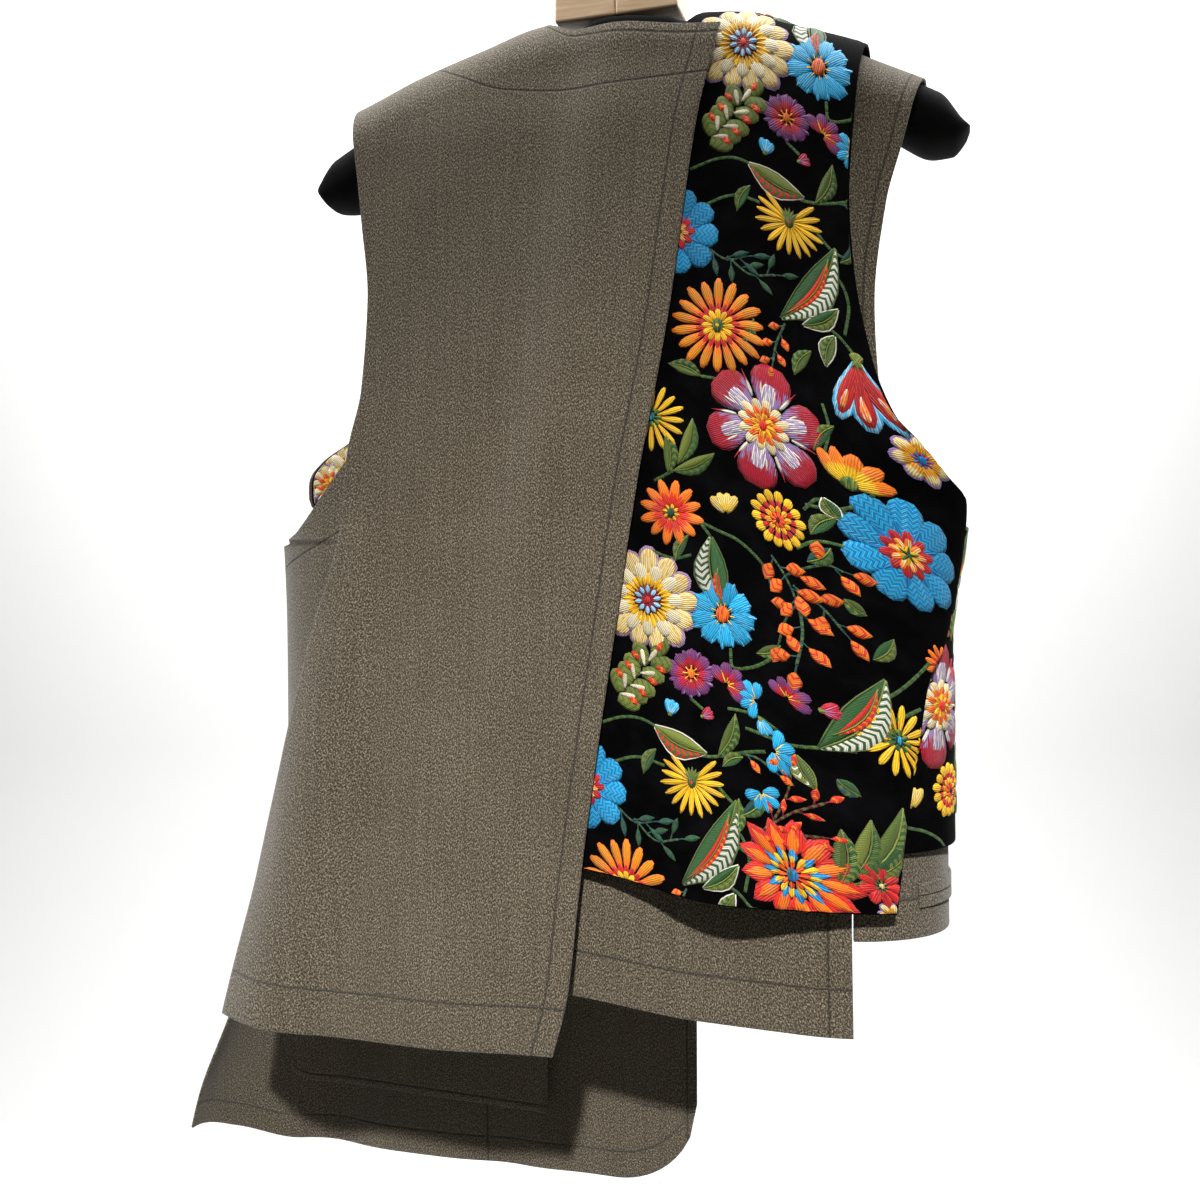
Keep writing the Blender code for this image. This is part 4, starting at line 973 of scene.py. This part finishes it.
repeatVines = (
    ((0.060, 0.233), (0.078, 0.228), (0.094, 0.231), (0.120, 0.253), (0.138, 0.262), (0.166, 0.264)),
    ((0.144, 0.200), (0.146, 0.212), (0.158, 0.214), (0.170, 0.209)), ((0.120, 0.222), (0.128, 0.231)),
    ((0.066, 0.258), (0.086, 0.252), (0.104, 0.258)),
    ((0.118, 0.331), (0.134, 0.333), (0.150, 0.342), (0.163, 0.358)),
    ((0.138, 0.279), (0.148, 0.292), (0.160, 0.300)), ((0.086, 0.370), (0.078, 0.366), (0.069, 0.364)),
    ((0.066, 0.452), (0.080, 0.459), (0.094, 0.466), (0.108, 0.480), (0.114, 0.494)),
    ((0.155, 0.450), (0.141, 0.441), (0.132, 0.447)), ((0.040, 0.428), (0.052, 0.422)),
    ((0.156, 0.470), (0.140, 0.466), (0.128, 0.470)), ((0.036, 0.470), (0.052, 0.476), (0.064, 0.474)),
    ((0.076, 0.463), (0.070, 0.455)), ((0.172, 0.430), (0.166, 0.441), (0.152, 0.447), (0.133, 0.444)),
    ((0.140, 0.300), (0.152, 0.310), (0.158, 0.326), (0.156, 0.344)),
    ((0.143, 0.384), (0.147, 0.400), (0.144, 0.418), (0.152, 0.428)))
repeatSprigs = (
    (((0.072, 0.284), (0.084, 0.292), (0.096, 0.291)), 0.012, 0.0045, "teal", "green", 3, 50),
    (((0.084, 0.290), (0.098, 0.302), (0.114, 0.304)), 0.011, 0.0045, "green", "teal", 4, 55),
    (((0.120, 0.334), (0.115, 0.346), (0.113, 0.358)), 0.0075, 0.0055, "orange", "red", 5, 48),
    (((0.152, 0.264), (0.162, 0.268), (0.172, 0.276)), 0.008, 0.0055, "orange", "red", 2, 50))
lowFlowers = (
    ("yellowBell", 0.170, 0.300, 0.0110, 40), ("daisy", 0.179, 0.584, 0.0210, 5),
    ("dahlia", 0.127, 0.661, 0.0300, 0), ("redSmall", 0.170, 0.669, 0.0120, 0),
    ("budBlue", 0.108, 0.572, 0.0085, 150), ("blueHalf", 0.116, 0.590, 0.0130, 100),
    ("blueHalf", 0.109, 0.614, 0.0110, 150), ("purpleHalf", 0.123, 0.559, 0.0115, 20),
    ("budRed", 0.141, 0.566, 0.0090, 70), ("creamSmall", 0.176, 0.688, 0.0080, 0),
    ("orangeSmall", 0.200, 0.542, 0.0120, 0))
lowLeaves = (
    (0.140, 0.588, 0.172, 0.548, 0.022, "green", "green", "white", 0.55, "moss"),
    (0.146, 0.580, 0.168, 0.553, 0.007, "red", "red", "orange", 0.3, None),
    (0.128, 0.592, 0.138, 0.612, 0.010, "moss", "olive", "white", 0.3, "olive"),
    (0.149, 0.668, 0.150, 0.635, 0.014, "moss", "olive", "green", 0.5, None),
    (0.154, 0.664, 0.165, 0.630, 0.014, "olive", "moss", "green", 0.5, None),
    (0.160, 0.662, 0.181, 0.624, 0.014, "moss", "olive", "green", 0.5, None),
    (0.163, 0.664, 0.186, 0.640, 0.013, "green", "olive", "moss", 0.5, None),
    (0.094, 0.688, 0.108, 0.684, 0.009, "green", "moss", "olive", 0.5, "white"),
    (0.092, 0.640, 0.096, 0.618, 0.009, "moss", "green", "olive", 0.4, None),
    (0.152, 0.500, 0.163, 0.510, 0.009, "moss", "green", "olive", 0.4, None),
    (0.148, 0.606, 0.160, 0.616, 0.010, "green", "teal", "moss", 0.4, None),
    (0.196, 0.592, 0.206, 0.574, 0.010, "moss", "green", "olive", 0.4, None),
    (0.166, 0.536, 0.176, 0.524, 0.009, "green", "moss", "olive", 0.4, None),
    (0.098, 0.594, 0.086, 0.600, 0.008, "green", "moss", "olive", 0.4, None))
lowVines = (
    ((0.099, 0.577), (0.124, 0.586), (0.142, 0.588), (0.158, 0.590)),
    ((0.142, 0.588), (0.164, 0.578), (0.190, 0.566)), ((0.118, 0.578), (0.106, 0.570), (0.088, 0.566)),
    ((0.170, 0.661), (0.156, 0.668), (0.142, 0.664)), ((0.084, 0.638), (0.100, 0.648), (0.110, 0.655)),
    ((0.160, 0.566), (0.180, 0.554), (0.196, 0.536)))
lowSprigs = (
   
    (((0.113, 0.474), (0.121, 0.486), (0.128, 0.502), (0.131, 0.520), (0.128, 0.540)), 0.0115, 0.0085,
     "orange", "red", 9, 62),
    (((0.126, 0.492), (0.140, 0.504), (0.152, 0.520)), 0.0115, 0.0080, "orange", "red", 4, 50),
    (((0.122, 0.486), (0.142, 0.480), (0.152, 0.484)), 0.0110, 0.0080, "orange", "red", 3, 50),
    (((0.130, 0.502), (0.122, 0.512), (0.118, 0.526)), 0.0105, 0.0080, "orange", "red", 2, 50),
    (((0.104, 0.642), (0.116, 0.630), (0.124, 0.614), (0.126, 0.602)), 0.0085, 0.0042, "red", "orange", 4,
     42, "leaf", "wine"),
    (((0.112, 0.634), (0.126, 0.626), (0.142, 0.620)), 0.0085, 0.0042, "red", "orange", 4, 40, "leaf",
     "wine"),
    (((0.112, 0.636), (0.126, 0.638), (0.142, 0.640)), 0.0085, 0.0042, "red", "orange", 3, 40, "leaf",
     "wine"))


def layOut(flowers, leaves, vines, sprigs):
    # every motif of a list laid in the flat plane
    parts = [placed(motifs[kind], flat((x, drop))[0], size, turn) for kind, x, drop, size, turn in flowers]
    parts += [leaf(*flat((x, drop), (toX, toDrop)), width, left, right, stripe, stripes=share,
                   edging=edging, level=2 if width < 0.0075 and left == "red" else 0)
              for x, drop, toX, toDrop, width, left, right, stripe, share, edging in leaves]
    parts += [vine(flat(*points)) for points in vines]
    parts += [sprig(flat(*points), *form) for points, *form in sprigs]
    return joined(*parts)


def shifted(stitches, right, down):
    return dict(stitches, middle=stitches["middle"] + np.array([right, down]))


def embroideryThread():
    # strands across or along each stitch; two threads change over in slanted rows, zigzags or streaks
    look = embroideryLook
    f = Finish("satin-stitched thread")
    spot = f.node("ShaderNodeSeparateXYZ", {}, {"Vector": f.uv()})
    across, along = spot, Wire(f.tree, spot.socket.node.outputs[1])
    wander = f.noise(f.uv((1.0, 1.0, 1.0)), 420.0, 2.0)
    slant = along + across.math("ABSOLUTE") * 0.85 + wander * 0.0006
    zig = along + across.math("PINGPONG", look["zigzag"]) * 1.1
    streak = f.noise(f.uv((1.0, 0.11, 1.0)), 950.0, 2.0, 0.6)
    kind = f.attribute("grain")
    isSlant = (1 - kind).math("MAXIMUM", 0.0)
    isAlong = (kind - 1).math("MAXIMUM", 0.0)
    isZig = 1 - isSlant - isAlong
    rows = slant.math("PINGPONG", look["stripe"]) / look["stripe"]
    bolts = zig.math("PINGPONG", look["stripe"] * 0.7) / (look["stripe"] * 0.7)
    pattern = rows * isSlant + bolts * isZig + f.range(streak, 0.30, 0.70) * isAlong
    share = ((f.attribute("blend") - pattern) / 0.22 + 0.5).math("MAXIMUM", 0.0).math("MINIMUM", 1.0)
    lie = slant * isSlant + zig * isZig + (across + wander * 0.0007) * isAlong
    strand = (lie * (math.tau / look["strand"])).math("SINE") * 0.5 + 0.5
    colour = f.mix(share, f.attribute("thread", 0), f.attribute("threadTwo", 0))
    # painted shade and highlight: the thread colour is darker between strands and lighter on their crowns;
    # the per-stitch shade attribute is a random tone
    shade = (0.68 + strand * 0.54) * (0.84 + f.attribute("shade") * 0.44)
    grey = f.node("ShaderNodeCombineXYZ", {}, {"X": shade, "Y": shade, "Z": shade})
    strandShadedColour = f.mix(1.0, colour, grey, "MULTIPLY")
    return f.done(strandShadedColour, f.range(strand, 0.0, 1.0, 0.62, 0.42), strand * 0.8 + wander * 0.3,
                  relief=look["relief"], strength=0.8,
                  Sheen_Weight=0.10, Specular_IOR_Level=0.35)


def stitchMesh(name, stitches, onPanel, bounded, material):
    # a tube over each middle line, five points across: height = rise x plump x widest half width x arch;
    # its sides go down into the cloth; bounded keeps the points on the panel, as if the pattern were cut
    look = embroideryLook
    held = bounded(stitches["middle"])
    near = (np.hypot(*np.moveaxis(held - stitches["middle"], -1, 0)) < 0.002).mean(axis=1)
    stitches = {key: value[near > look["shown"]] for key, value in stitches.items()}
    middle, half = stitches["middle"], stitches["half"]
    count = len(middle)
    forward = np.gradient(middle, axis=1)
    forward = forward / np.maximum(np.hypot(forward[..., 0], forward[..., 1]), 1e-9)[..., None]
    side = np.stack((-forward[..., 1], forward[..., 0]), axis=-1)
    t = look["across"]
    plane = bounded(middle[:, :, None, :] + side[:, :, None, :] * half[:, :, None, None] * t[:, None])
    tall = stitches["rise"] * np.clip(look["plump"] * half.max(axis=1), look["stitchLow"],
                                      look["stitchHigh"])
    ground = (stitches["level"] * look["levelStep"])[:, None, None]
    up = tall[:, None, None] * look["arch"] * look["ends"][:, None] + ground
    up = np.where(np.abs(t) > 0.9, -look["sunk"], up)
    points = onPanel(plane[..., 0], plane[..., 1], up).reshape(-1, 3)
    step = np.hypot(*np.moveaxis(np.diff(middle, axis=1), -1, 0))
    along = np.concatenate((np.zeros((count, 1)), np.cumsum(step, axis=1)), axis=1)
    uvs = np.stack(np.broadcast_arrays(half[:, :, None] * t, along[:, :, None]), axis=-1).reshape(-1, 2)
    ring = np.arange(5)
    row = np.arange(6)[:, None] * 5
    a, b = row + ring, row + (ring + 1) % 5
    walls = np.concatenate((np.stack((a, b, b + 5), axis=-1).reshape(-1, 3),
                            np.stack((a, b + 5, a + 5), axis=-1).reshape(-1, 3)))
    caps = np.array([(0, 2, 1), (0, 3, 2), (0, 4, 3), (30, 31, 32), (30, 32, 33), (30, 33, 34)])
    faces = (np.concatenate((walls, caps))[None] + (np.arange(count) * 35)[:, None, None]).reshape(-1, 3)
    corner = points[faces]
    volume = np.einsum("ij,ij->", corner[:, 0] - points[0],
                       np.cross(corner[:, 1] - points[0], corner[:, 2] - points[0]))
    if volume < 0:
        faces = faces[:, ::-1]

    def perPoint(value):
        return np.repeat(value, 35, axis=0)

    shade = (np.sin(np.arange(count) * 12.9898) * 43758.5453) % 1.0
    attributes = dict(thread=perPoint(stitches["first"]), threadTwo=perPoint(stitches["second"]),
                      grain=perPoint(stitches["grain"]),
                      blend=np.repeat(stitches["blend"].reshape(-1), 5), shade=perPoint(shade))
    piece = newMesh(name, points, faces, uvs, attributes)
    piece.data.materials.append(material)
    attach(piece, "root")
    print(name, count, "stitches")
    return piece


def keptOn(left, right, upper, lower):
    # girth and path held inside a panel's four edges
    def bounded(plane):
        girth, path = plane[..., 0], plane[..., 1]
        margin = embroideryLook["margin"]
        for _ in range(3):
            path = np.clip(path, upper(girth) + margin, lower(girth) - margin)
            drop = dropAt(girth, path)
            girth = np.clip(girth, left(drop) + margin, right(drop) - margin)
        return np.stack((girth, path), axis=-1)
    return bounded


satin = embroideryThread()
repeat = layOut(repeatFlowers, repeatLeaves, repeatVines, repeatSprigs)
low = layOut(lowFlowers, lowLeaves, lowVines, lowSprigs)
onBack = keptOn(edge(velvetLeft, -1), edge(rightBack["freeEdge"], -1, 0.006), neck(rightBack["neck"]),
                hem(rightBack["hem"], -1))
flowerNodes = sorted(name for name in cadNodes if name.startswith("flower_"))
embroideryBack = stitchMesh("embroideryBack",
                            joined(repeat, shifted(repeat, -0.055, 0.355), shifted(repeat, 0.055, -0.355),
                                   low),
                            lambda a, b, up: onBody(a, b, velvetLift(a, b) + bodyForm["cloth"] + up, -1),
                            onBack, satin)
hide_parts(*flowerNodes)

crimsonAt = girthAt(np.array(0.204), np.array(0.57), 1, around=True)
overlayRight = edge(rightFront["overlayBack"], 1, around=True)
overlayArmhole = edge(rightFront["armhole"], 1)
overlayMirror = float(crimsonAt) + 0.110


def onOverlay(plane):
    # the flat plane mirrored on the overlay, whose girth grows to the left as it is looked at
    girth, path = overlayMirror - plane[..., 0], plane[..., 1]
    margin = embroideryLook["margin"]
    for _ in range(3):
        past = girth > rightSide(rightFront["armholeLow"])
        path = np.clip(path, np.where(past, sideTop(girth), startFront(girth)) + margin,
                       pathAt(girth, rightFront["overlayHem"]) - margin)
        drop = dropAt(girth, path)
        limit = np.where(drop < rightFront["armholeLow"], np.where(past, girth, overlayArmhole(drop)),
                         overlayRight(drop))
        girth = np.clip(girth, edge(rightFront["neckEdge"], 1)(drop) + margin, limit - margin)
    return np.stack((overlayMirror - girth, path), axis=-1)


columns = [shifted(repeat, right, down) for right, down in
           ((0.000, 0.114), (0.055, -0.241), (0.205, -0.001), (0.260, -0.356), (0.150, 0.354),
            (0.360, 0.179), (0.390, -0.121), (0.010, 0.469))]
embroideryOverlay = stitchMesh("embroideryOverlay", joined(*columns),
                               lambda a, b, up: onBody(overlayMirror - a, b,
                                                       overlayLift(overlayMirror - a, b) + bodyForm["cloth"]
                                                       + up, 1), onOverlay, satin)

onFacing = keptOn(edge(leftFront["armhole"], 1), lambda drop: girthAt(-0.196, drop, 1) + 0 * drop,
                  level(0.360), level(0.455))
embroideryFacing = stitchMesh("embroideryFacing",
                              joined(shifted(repeat, -0.345, -0.012), shifted(repeat, -0.392, 0.185),
                                     shifted(repeat, -0.310, 0.215)),
                              lambda a, b, up: onBody(a, b, -leftFront["innerWall"] - bodyForm["facingGap"]
                                                      - up, 1), onFacing, satin)
print("embroidery made")


# hanger and buttons

hangerLook = dict(felt=(0.0012, 0.0012, 0.0012), feltPale=(0.005, 0.005, 0.0045), wood=(0.82, 0.60, 0.38),
                  grain=(0.64, 0.42, 0.23),
                  steel=(0.60, 0.60, 0.61), horn=(0.030, 0.022, 0.016), hornPale=(0.110, 0.080, 0.052),
                  halfDepth=0.026, topCentre=0.1118, gap=0.0009, tip=0.2275, fullTop=0.22, neckCentre=0.013,
                  profile=table("reach bottom depth",
                                (0.000, 0.146, 0.84), (0.060, 0.152, 0.80), (0.120, 0.178, 0.92),
                                (0.180, 0.209, 1.00), (0.206, 0.2230, 0.98), (0.217, 0.2220, 0.88),
                                (0.225, 0.2130, 0.62), (0.2275, 0.2080, 0.25)))


def hangerFelt():
    f = Finish("black flocked hanger")
    fuzz = f.noise(f.place(), 1400.0, 3.0, 0.7)
    colour = f.mix(f.range(fuzz, 0.35, 0.75), hangerLook["felt"], hangerLook["feltPale"])
    return f.done(colour, 0.85, fuzz, relief=0.0003, strength=0.5, Specular_IOR_Level=0.12)


def hangerWood():
    # grain: noise drawn out along X
    f = Finish("varnished wood")
    grain = f.noise(f.place((12.0, 140.0, 160.0)), 3.0, 4.0, 0.6)
    colour = f.mix(f.range(grain, 0.35, 0.70), hangerLook["wood"], hangerLook["grain"])
    return f.done(colour, f.range(grain, 0.3, 0.7, 0.32, 0.48), grain, relief=0.0001, strength=0.4,
                  Coat_Weight=0.3)


def hookSteel():
    f = Finish("satin steel wire")
    scratch = f.noise(f.place((1.0, 1.0, 0.15)), 900.0, 2.0)
    return f.done(hangerLook["steel"], f.range(scratch, 0.3, 0.7, 0.22, 0.40), scratch, relief=0.00003,
                  strength=0.3, Metallic=1.0)


def buttonHorn():
    f = Finish("dark horn")
    cloud = f.noise(f.place(), 160.0, 4.0, 0.6)
    colour = f.mix(f.range(cloud, 0.40, 0.68), hangerLook["horn"], hangerLook["hornPale"])
    return f.done(colour, f.range(cloud, 0.3, 0.7, 0.26, 0.42), cloud, relief=0.00005, strength=0.3,
                  Coat_Weight=0.2)


def sewingThread():
    f = Finish("button thread")
    twist = f.noise(f.place((1.0, 1.0, 3.0)), 1500.0, 2.0)
    return f.done((0.020, 0.016, 0.012), f.range(twist, 0.3, 0.7, 0.60, 0.85), twist, relief=0.0001,
                  strength=0.4)


def hangerShoulders():
    # oval loops along the reach, y = depth sin angle, z = middle + half cos angle, with pointed ends
    look = hangerLook
    reach = np.concatenate((np.linspace(0, 0.195, 40), np.linspace(0.199, look["tip"], 16)))
    reach = np.concatenate((-reach[:0:-1], reach))
    size = np.abs(reach)
    inner = np.minimum(size, 0.207)
    over = np.maximum(read(bodyForm["ridge"], "drop", inner),
                      read(bodyForm["ridge"], "drop", -inner)) + look["gap"]
    over = np.maximum(over, look["topCentre"]) + 0.024 * ease(size, 0.203, 0.2280) ** 1.5
    under = read(look["profile"], "bottom", size)
    deep = read(look["profile"], "depth", size) * look["halfDepth"]
    angle = np.linspace(0, math.tau, 41)
    outside = ease(np.abs(reach - look["neckCentre"]), 0.024, 0.044)[:, None]
    full = look["fullTop"] + (1 - look["fullTop"]) * outside
    shape = np.where(np.cos(angle) > 0, np.abs(np.cos(angle)) ** full, -np.abs(np.cos(angle)) ** 0.7)
    middle, half = -(over + under) / 2, (under - over) / 2
    loops = np.stack((reach[:, None] + 0 * angle, deep[:, None] * np.sin(angle),
                      middle[:, None] + half[:, None] * shape), axis=-1)
    tips = [np.broadcast_to((s * look["tip"], 0.0, middle[i]), (1, 41, 3)) for s, i in ((-1, 0), (1, -1))]
    points = np.concatenate((tips[0], loops, tips[1]))
    piece = newMesh("hangerShoulders", points.reshape(-1, 3), gridFaces(len(points), 41), weld=0.00001)
    shell = bmesh.new()
    shell.from_mesh(piece.data)
    bmesh.ops.recalc_face_normals(shell, faces=shell.faces)
    shell.to_mesh(piece.data)
    shell.free()
    piece.data.materials.append(hangerFelt())
    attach(piece, "root")
    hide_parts("hanger_shoulders")


hangerShoulders()
varnished, wire = hangerWood(), hookSteel()
for node, material in (("hanger_neck_block_left", varnished), ("hanger_neck_block_right", varnished),
                       ("hanger_hook", wire)):
    for slot in cadNodes[node].material_slots:
        slot.material = material

def button(index, material, threads):
    # the turned profile swept round its axis, (r cos angle, r sin angle, h), and two crossed threads
    form = buttonForm
    drop = form["lowest"] - form["spacing"] * (index + 3)
    girth = np.array([form["x"], form["x"]])
    path = pathAt(girth, np.array([drop - form["radius"], drop + form["radius"]]))
    top, foot = onBody(girth, path, leftFrontLift(girth, path) + bodyForm["cloth"], 1)
    down = (foot - top) / np.linalg.norm(foot - top)
    aside = np.array([-1.0, 0.0, 0.0])
    out = np.cross(aside, -down)
    out = out * np.sign(out[1])
    centre = (top + foot) / 2 + out * bodyForm["layerGap"]
    turned = np.array(form["turned"])
    angle = np.linspace(0, math.tau, 49)
    disc = turned[:, None, :1] * np.stack((np.cos(angle), np.sin(angle)), axis=-1)
    flatPoints = np.concatenate((disc, np.broadcast_to(turned[:, None, 1:], (len(turned), 49, 1))), axis=-1)
    frameOf = np.stack((aside, -down, out))
    piece = newMesh("button%d" % (index + 1), flatPoints.reshape(-1, 3) @ frameOf + centre,
                    gridFaces(len(turned), 49), weld=0.00001)
    t = np.linspace(-1, 1, 11)
    bend = np.stack((t * form["holes"], 0 * t, 0.0023 + 0.0009 * (1 - t ** 2)), axis=-1)
    ring = np.linspace(0, math.tau, 13)
    tube = bend[:, None, :] + 0.00035 * np.stack((0 * ring, np.cos(ring), np.sin(ring)), axis=-1)
    stitched = []
    for crossing in (math.pi / 4, -math.pi / 4):
        c, s = math.cos(crossing), math.sin(crossing)
        stitched.append(tube.reshape(-1, 3) @ np.array([[c, s, 0], [-s, c, 0], [0, 0, 1]]))
    thread = newMesh("buttonThread%d" % (index + 1), np.concatenate(stitched) @ frameOf + centre,
                     np.concatenate((gridFaces(11, 13), gridFaces(11, 13) + 143)), weld=0.00001)
    for mesh, finish in ((piece, material), (thread, threads)):
        shell = bmesh.new()
        shell.from_mesh(mesh.data)
        bmesh.ops.holes_fill(shell, edges=shell.edges, sides=0)
        bmesh.ops.recalc_face_normals(shell, faces=shell.faces)
        shell.to_mesh(mesh.data)
        shell.free()
        mesh.data.materials.append(finish)
        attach(mesh, "root")
    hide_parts("button_%d" % (index + 1))


horn, buttonThread = buttonHorn(), sewingThread()
for index in range(4):
    button(index, horn, buttonThread)
print("hanger and buttons finished")


# camera, floor and light

view = dict(turn=17.0, distance=0.79, aside=0.0143, height=-0.4716, focal=1155.0, horizon=551.0,
            frame=1200.0)
studio = dict(floor=-1.90, depth=2.4, width=7.0, wall=4.0, bend=0.9, pale=(0.90, 0.90, 0.895),
              keyPower=1345.0, keySoft=0.10, keyTurn=-4.0, keyRise=45.0, keyAway=5.0, keyCone=18.0,
              keyLow=0.56,
              fillPower=1.5, farPower=14.0, worldStrength=0.032, backPower=125.0)

turn = math.radians(view["turn"])
across = np.array([math.cos(turn), math.sin(turn), 0.0])
ahead = np.array([-math.sin(turn), math.cos(turn), 0.0])
eye = -view["aside"] * across - view["distance"] * ahead
lens = bpy.data.cameras.new("view")
lens.sensor_width = 36.0
lens.lens = view["focal"] / view["frame"] * 36.0
lens.shift_y = (view["horizon"] - view["frame"] / 2) / view["frame"]
camera = bpy.data.objects.new("view", lens)
bpy.context.scene.collection.objects.link(camera)
camera.location = (eye[0], eye[1], view["height"])
camera.rotation_euler = (quarterTurn, 0.0, turn)
bpy.context.scene.camera = camera


def backdrop():
    # a floor that bends up into a wall: straight, quarter circle, straight, as wide as the view needs
    bend = studio["bend"]
    t = np.linspace(0, quarterTurn, 24)
    run = np.concatenate(([-4.0], studio["depth"] - bend + bend * np.sin(t), [studio["depth"]]))
    rise = np.concatenate(([0.0], bend - bend * np.cos(t), [studio["wall"]])) + studio["floor"]
    wide = np.array([-studio["width"], studio["width"]])
    upright = np.array([0.0, 0.0, 1.0])
    points = run[:, None, None] * ahead + wide[None, :, None] * across + rise[:, None, None] * upright
    piece = newMesh("studioFloor", points.reshape(-1, 3), gridFaces(len(run), 2)[:, ::-1])
    f = Finish("pale floor")
    piece.data.materials.append(f.done(studio["pale"], 0.9, Specular_IOR_Level=0.1))


def lamp(name, kind, power, side, rise, away, aim, **settings):
    # a light on a sphere round the aim, turned from the view's direction by side and raised by rise
    a, e = turn + math.radians(side), math.radians(rise)
    back = np.array([math.sin(a) * math.cos(e), -math.cos(a) * math.cos(e), math.sin(e)])
    light = bpy.data.lights.new(name, kind)
    light.energy = power
    for key, value in settings.items():
        setattr(light, key, value)
    lampObject = bpy.data.objects.new(name, light)
    bpy.context.scene.collection.objects.link(lampObject)
    lampObject.location = aim + back * away
    lampObject.rotation_euler = (quarterTurn - e, 0.0, a)


backdrop()
aim = np.array([0.0, 0.0, -0.52])
lamp("key", "SPOT", studio["keyPower"], studio["keyTurn"], studio["keyRise"], studio["keyAway"],
     aim - np.array([0.0, 0.0, studio["keyLow"]]),
     spot_size=math.radians(studio["keyCone"]), spot_blend=1.0, shadow_soft_size=studio["keySoft"])
lamp("fill", "AREA", studio["fillPower"], 35.0, 15.0, 2.6, aim, size=2.0)
lamp("far side", "AREA", studio["farPower"], 160.0, 30.0, 2.2, aim, size=1.6)
lamp("backdrop light", "AREA", studio["backPower"], 0.0, 48.0, 2.2, aim + studio["depth"] * ahead, size=3.0)
bpy.context.scene.view_settings.view_transform = "Standard"
world = bpy.data.worlds.new("studio")
bpy.context.scene.world = world
world.use_nodes = True
world.node_tree.nodes["Background"].inputs["Color"].default_value = (1.0, 1.0, 1.0, 1.0)
world.node_tree.nodes["Background"].inputs["Strength"].default_value = studio["worldStrength"]
print("camera and light set")
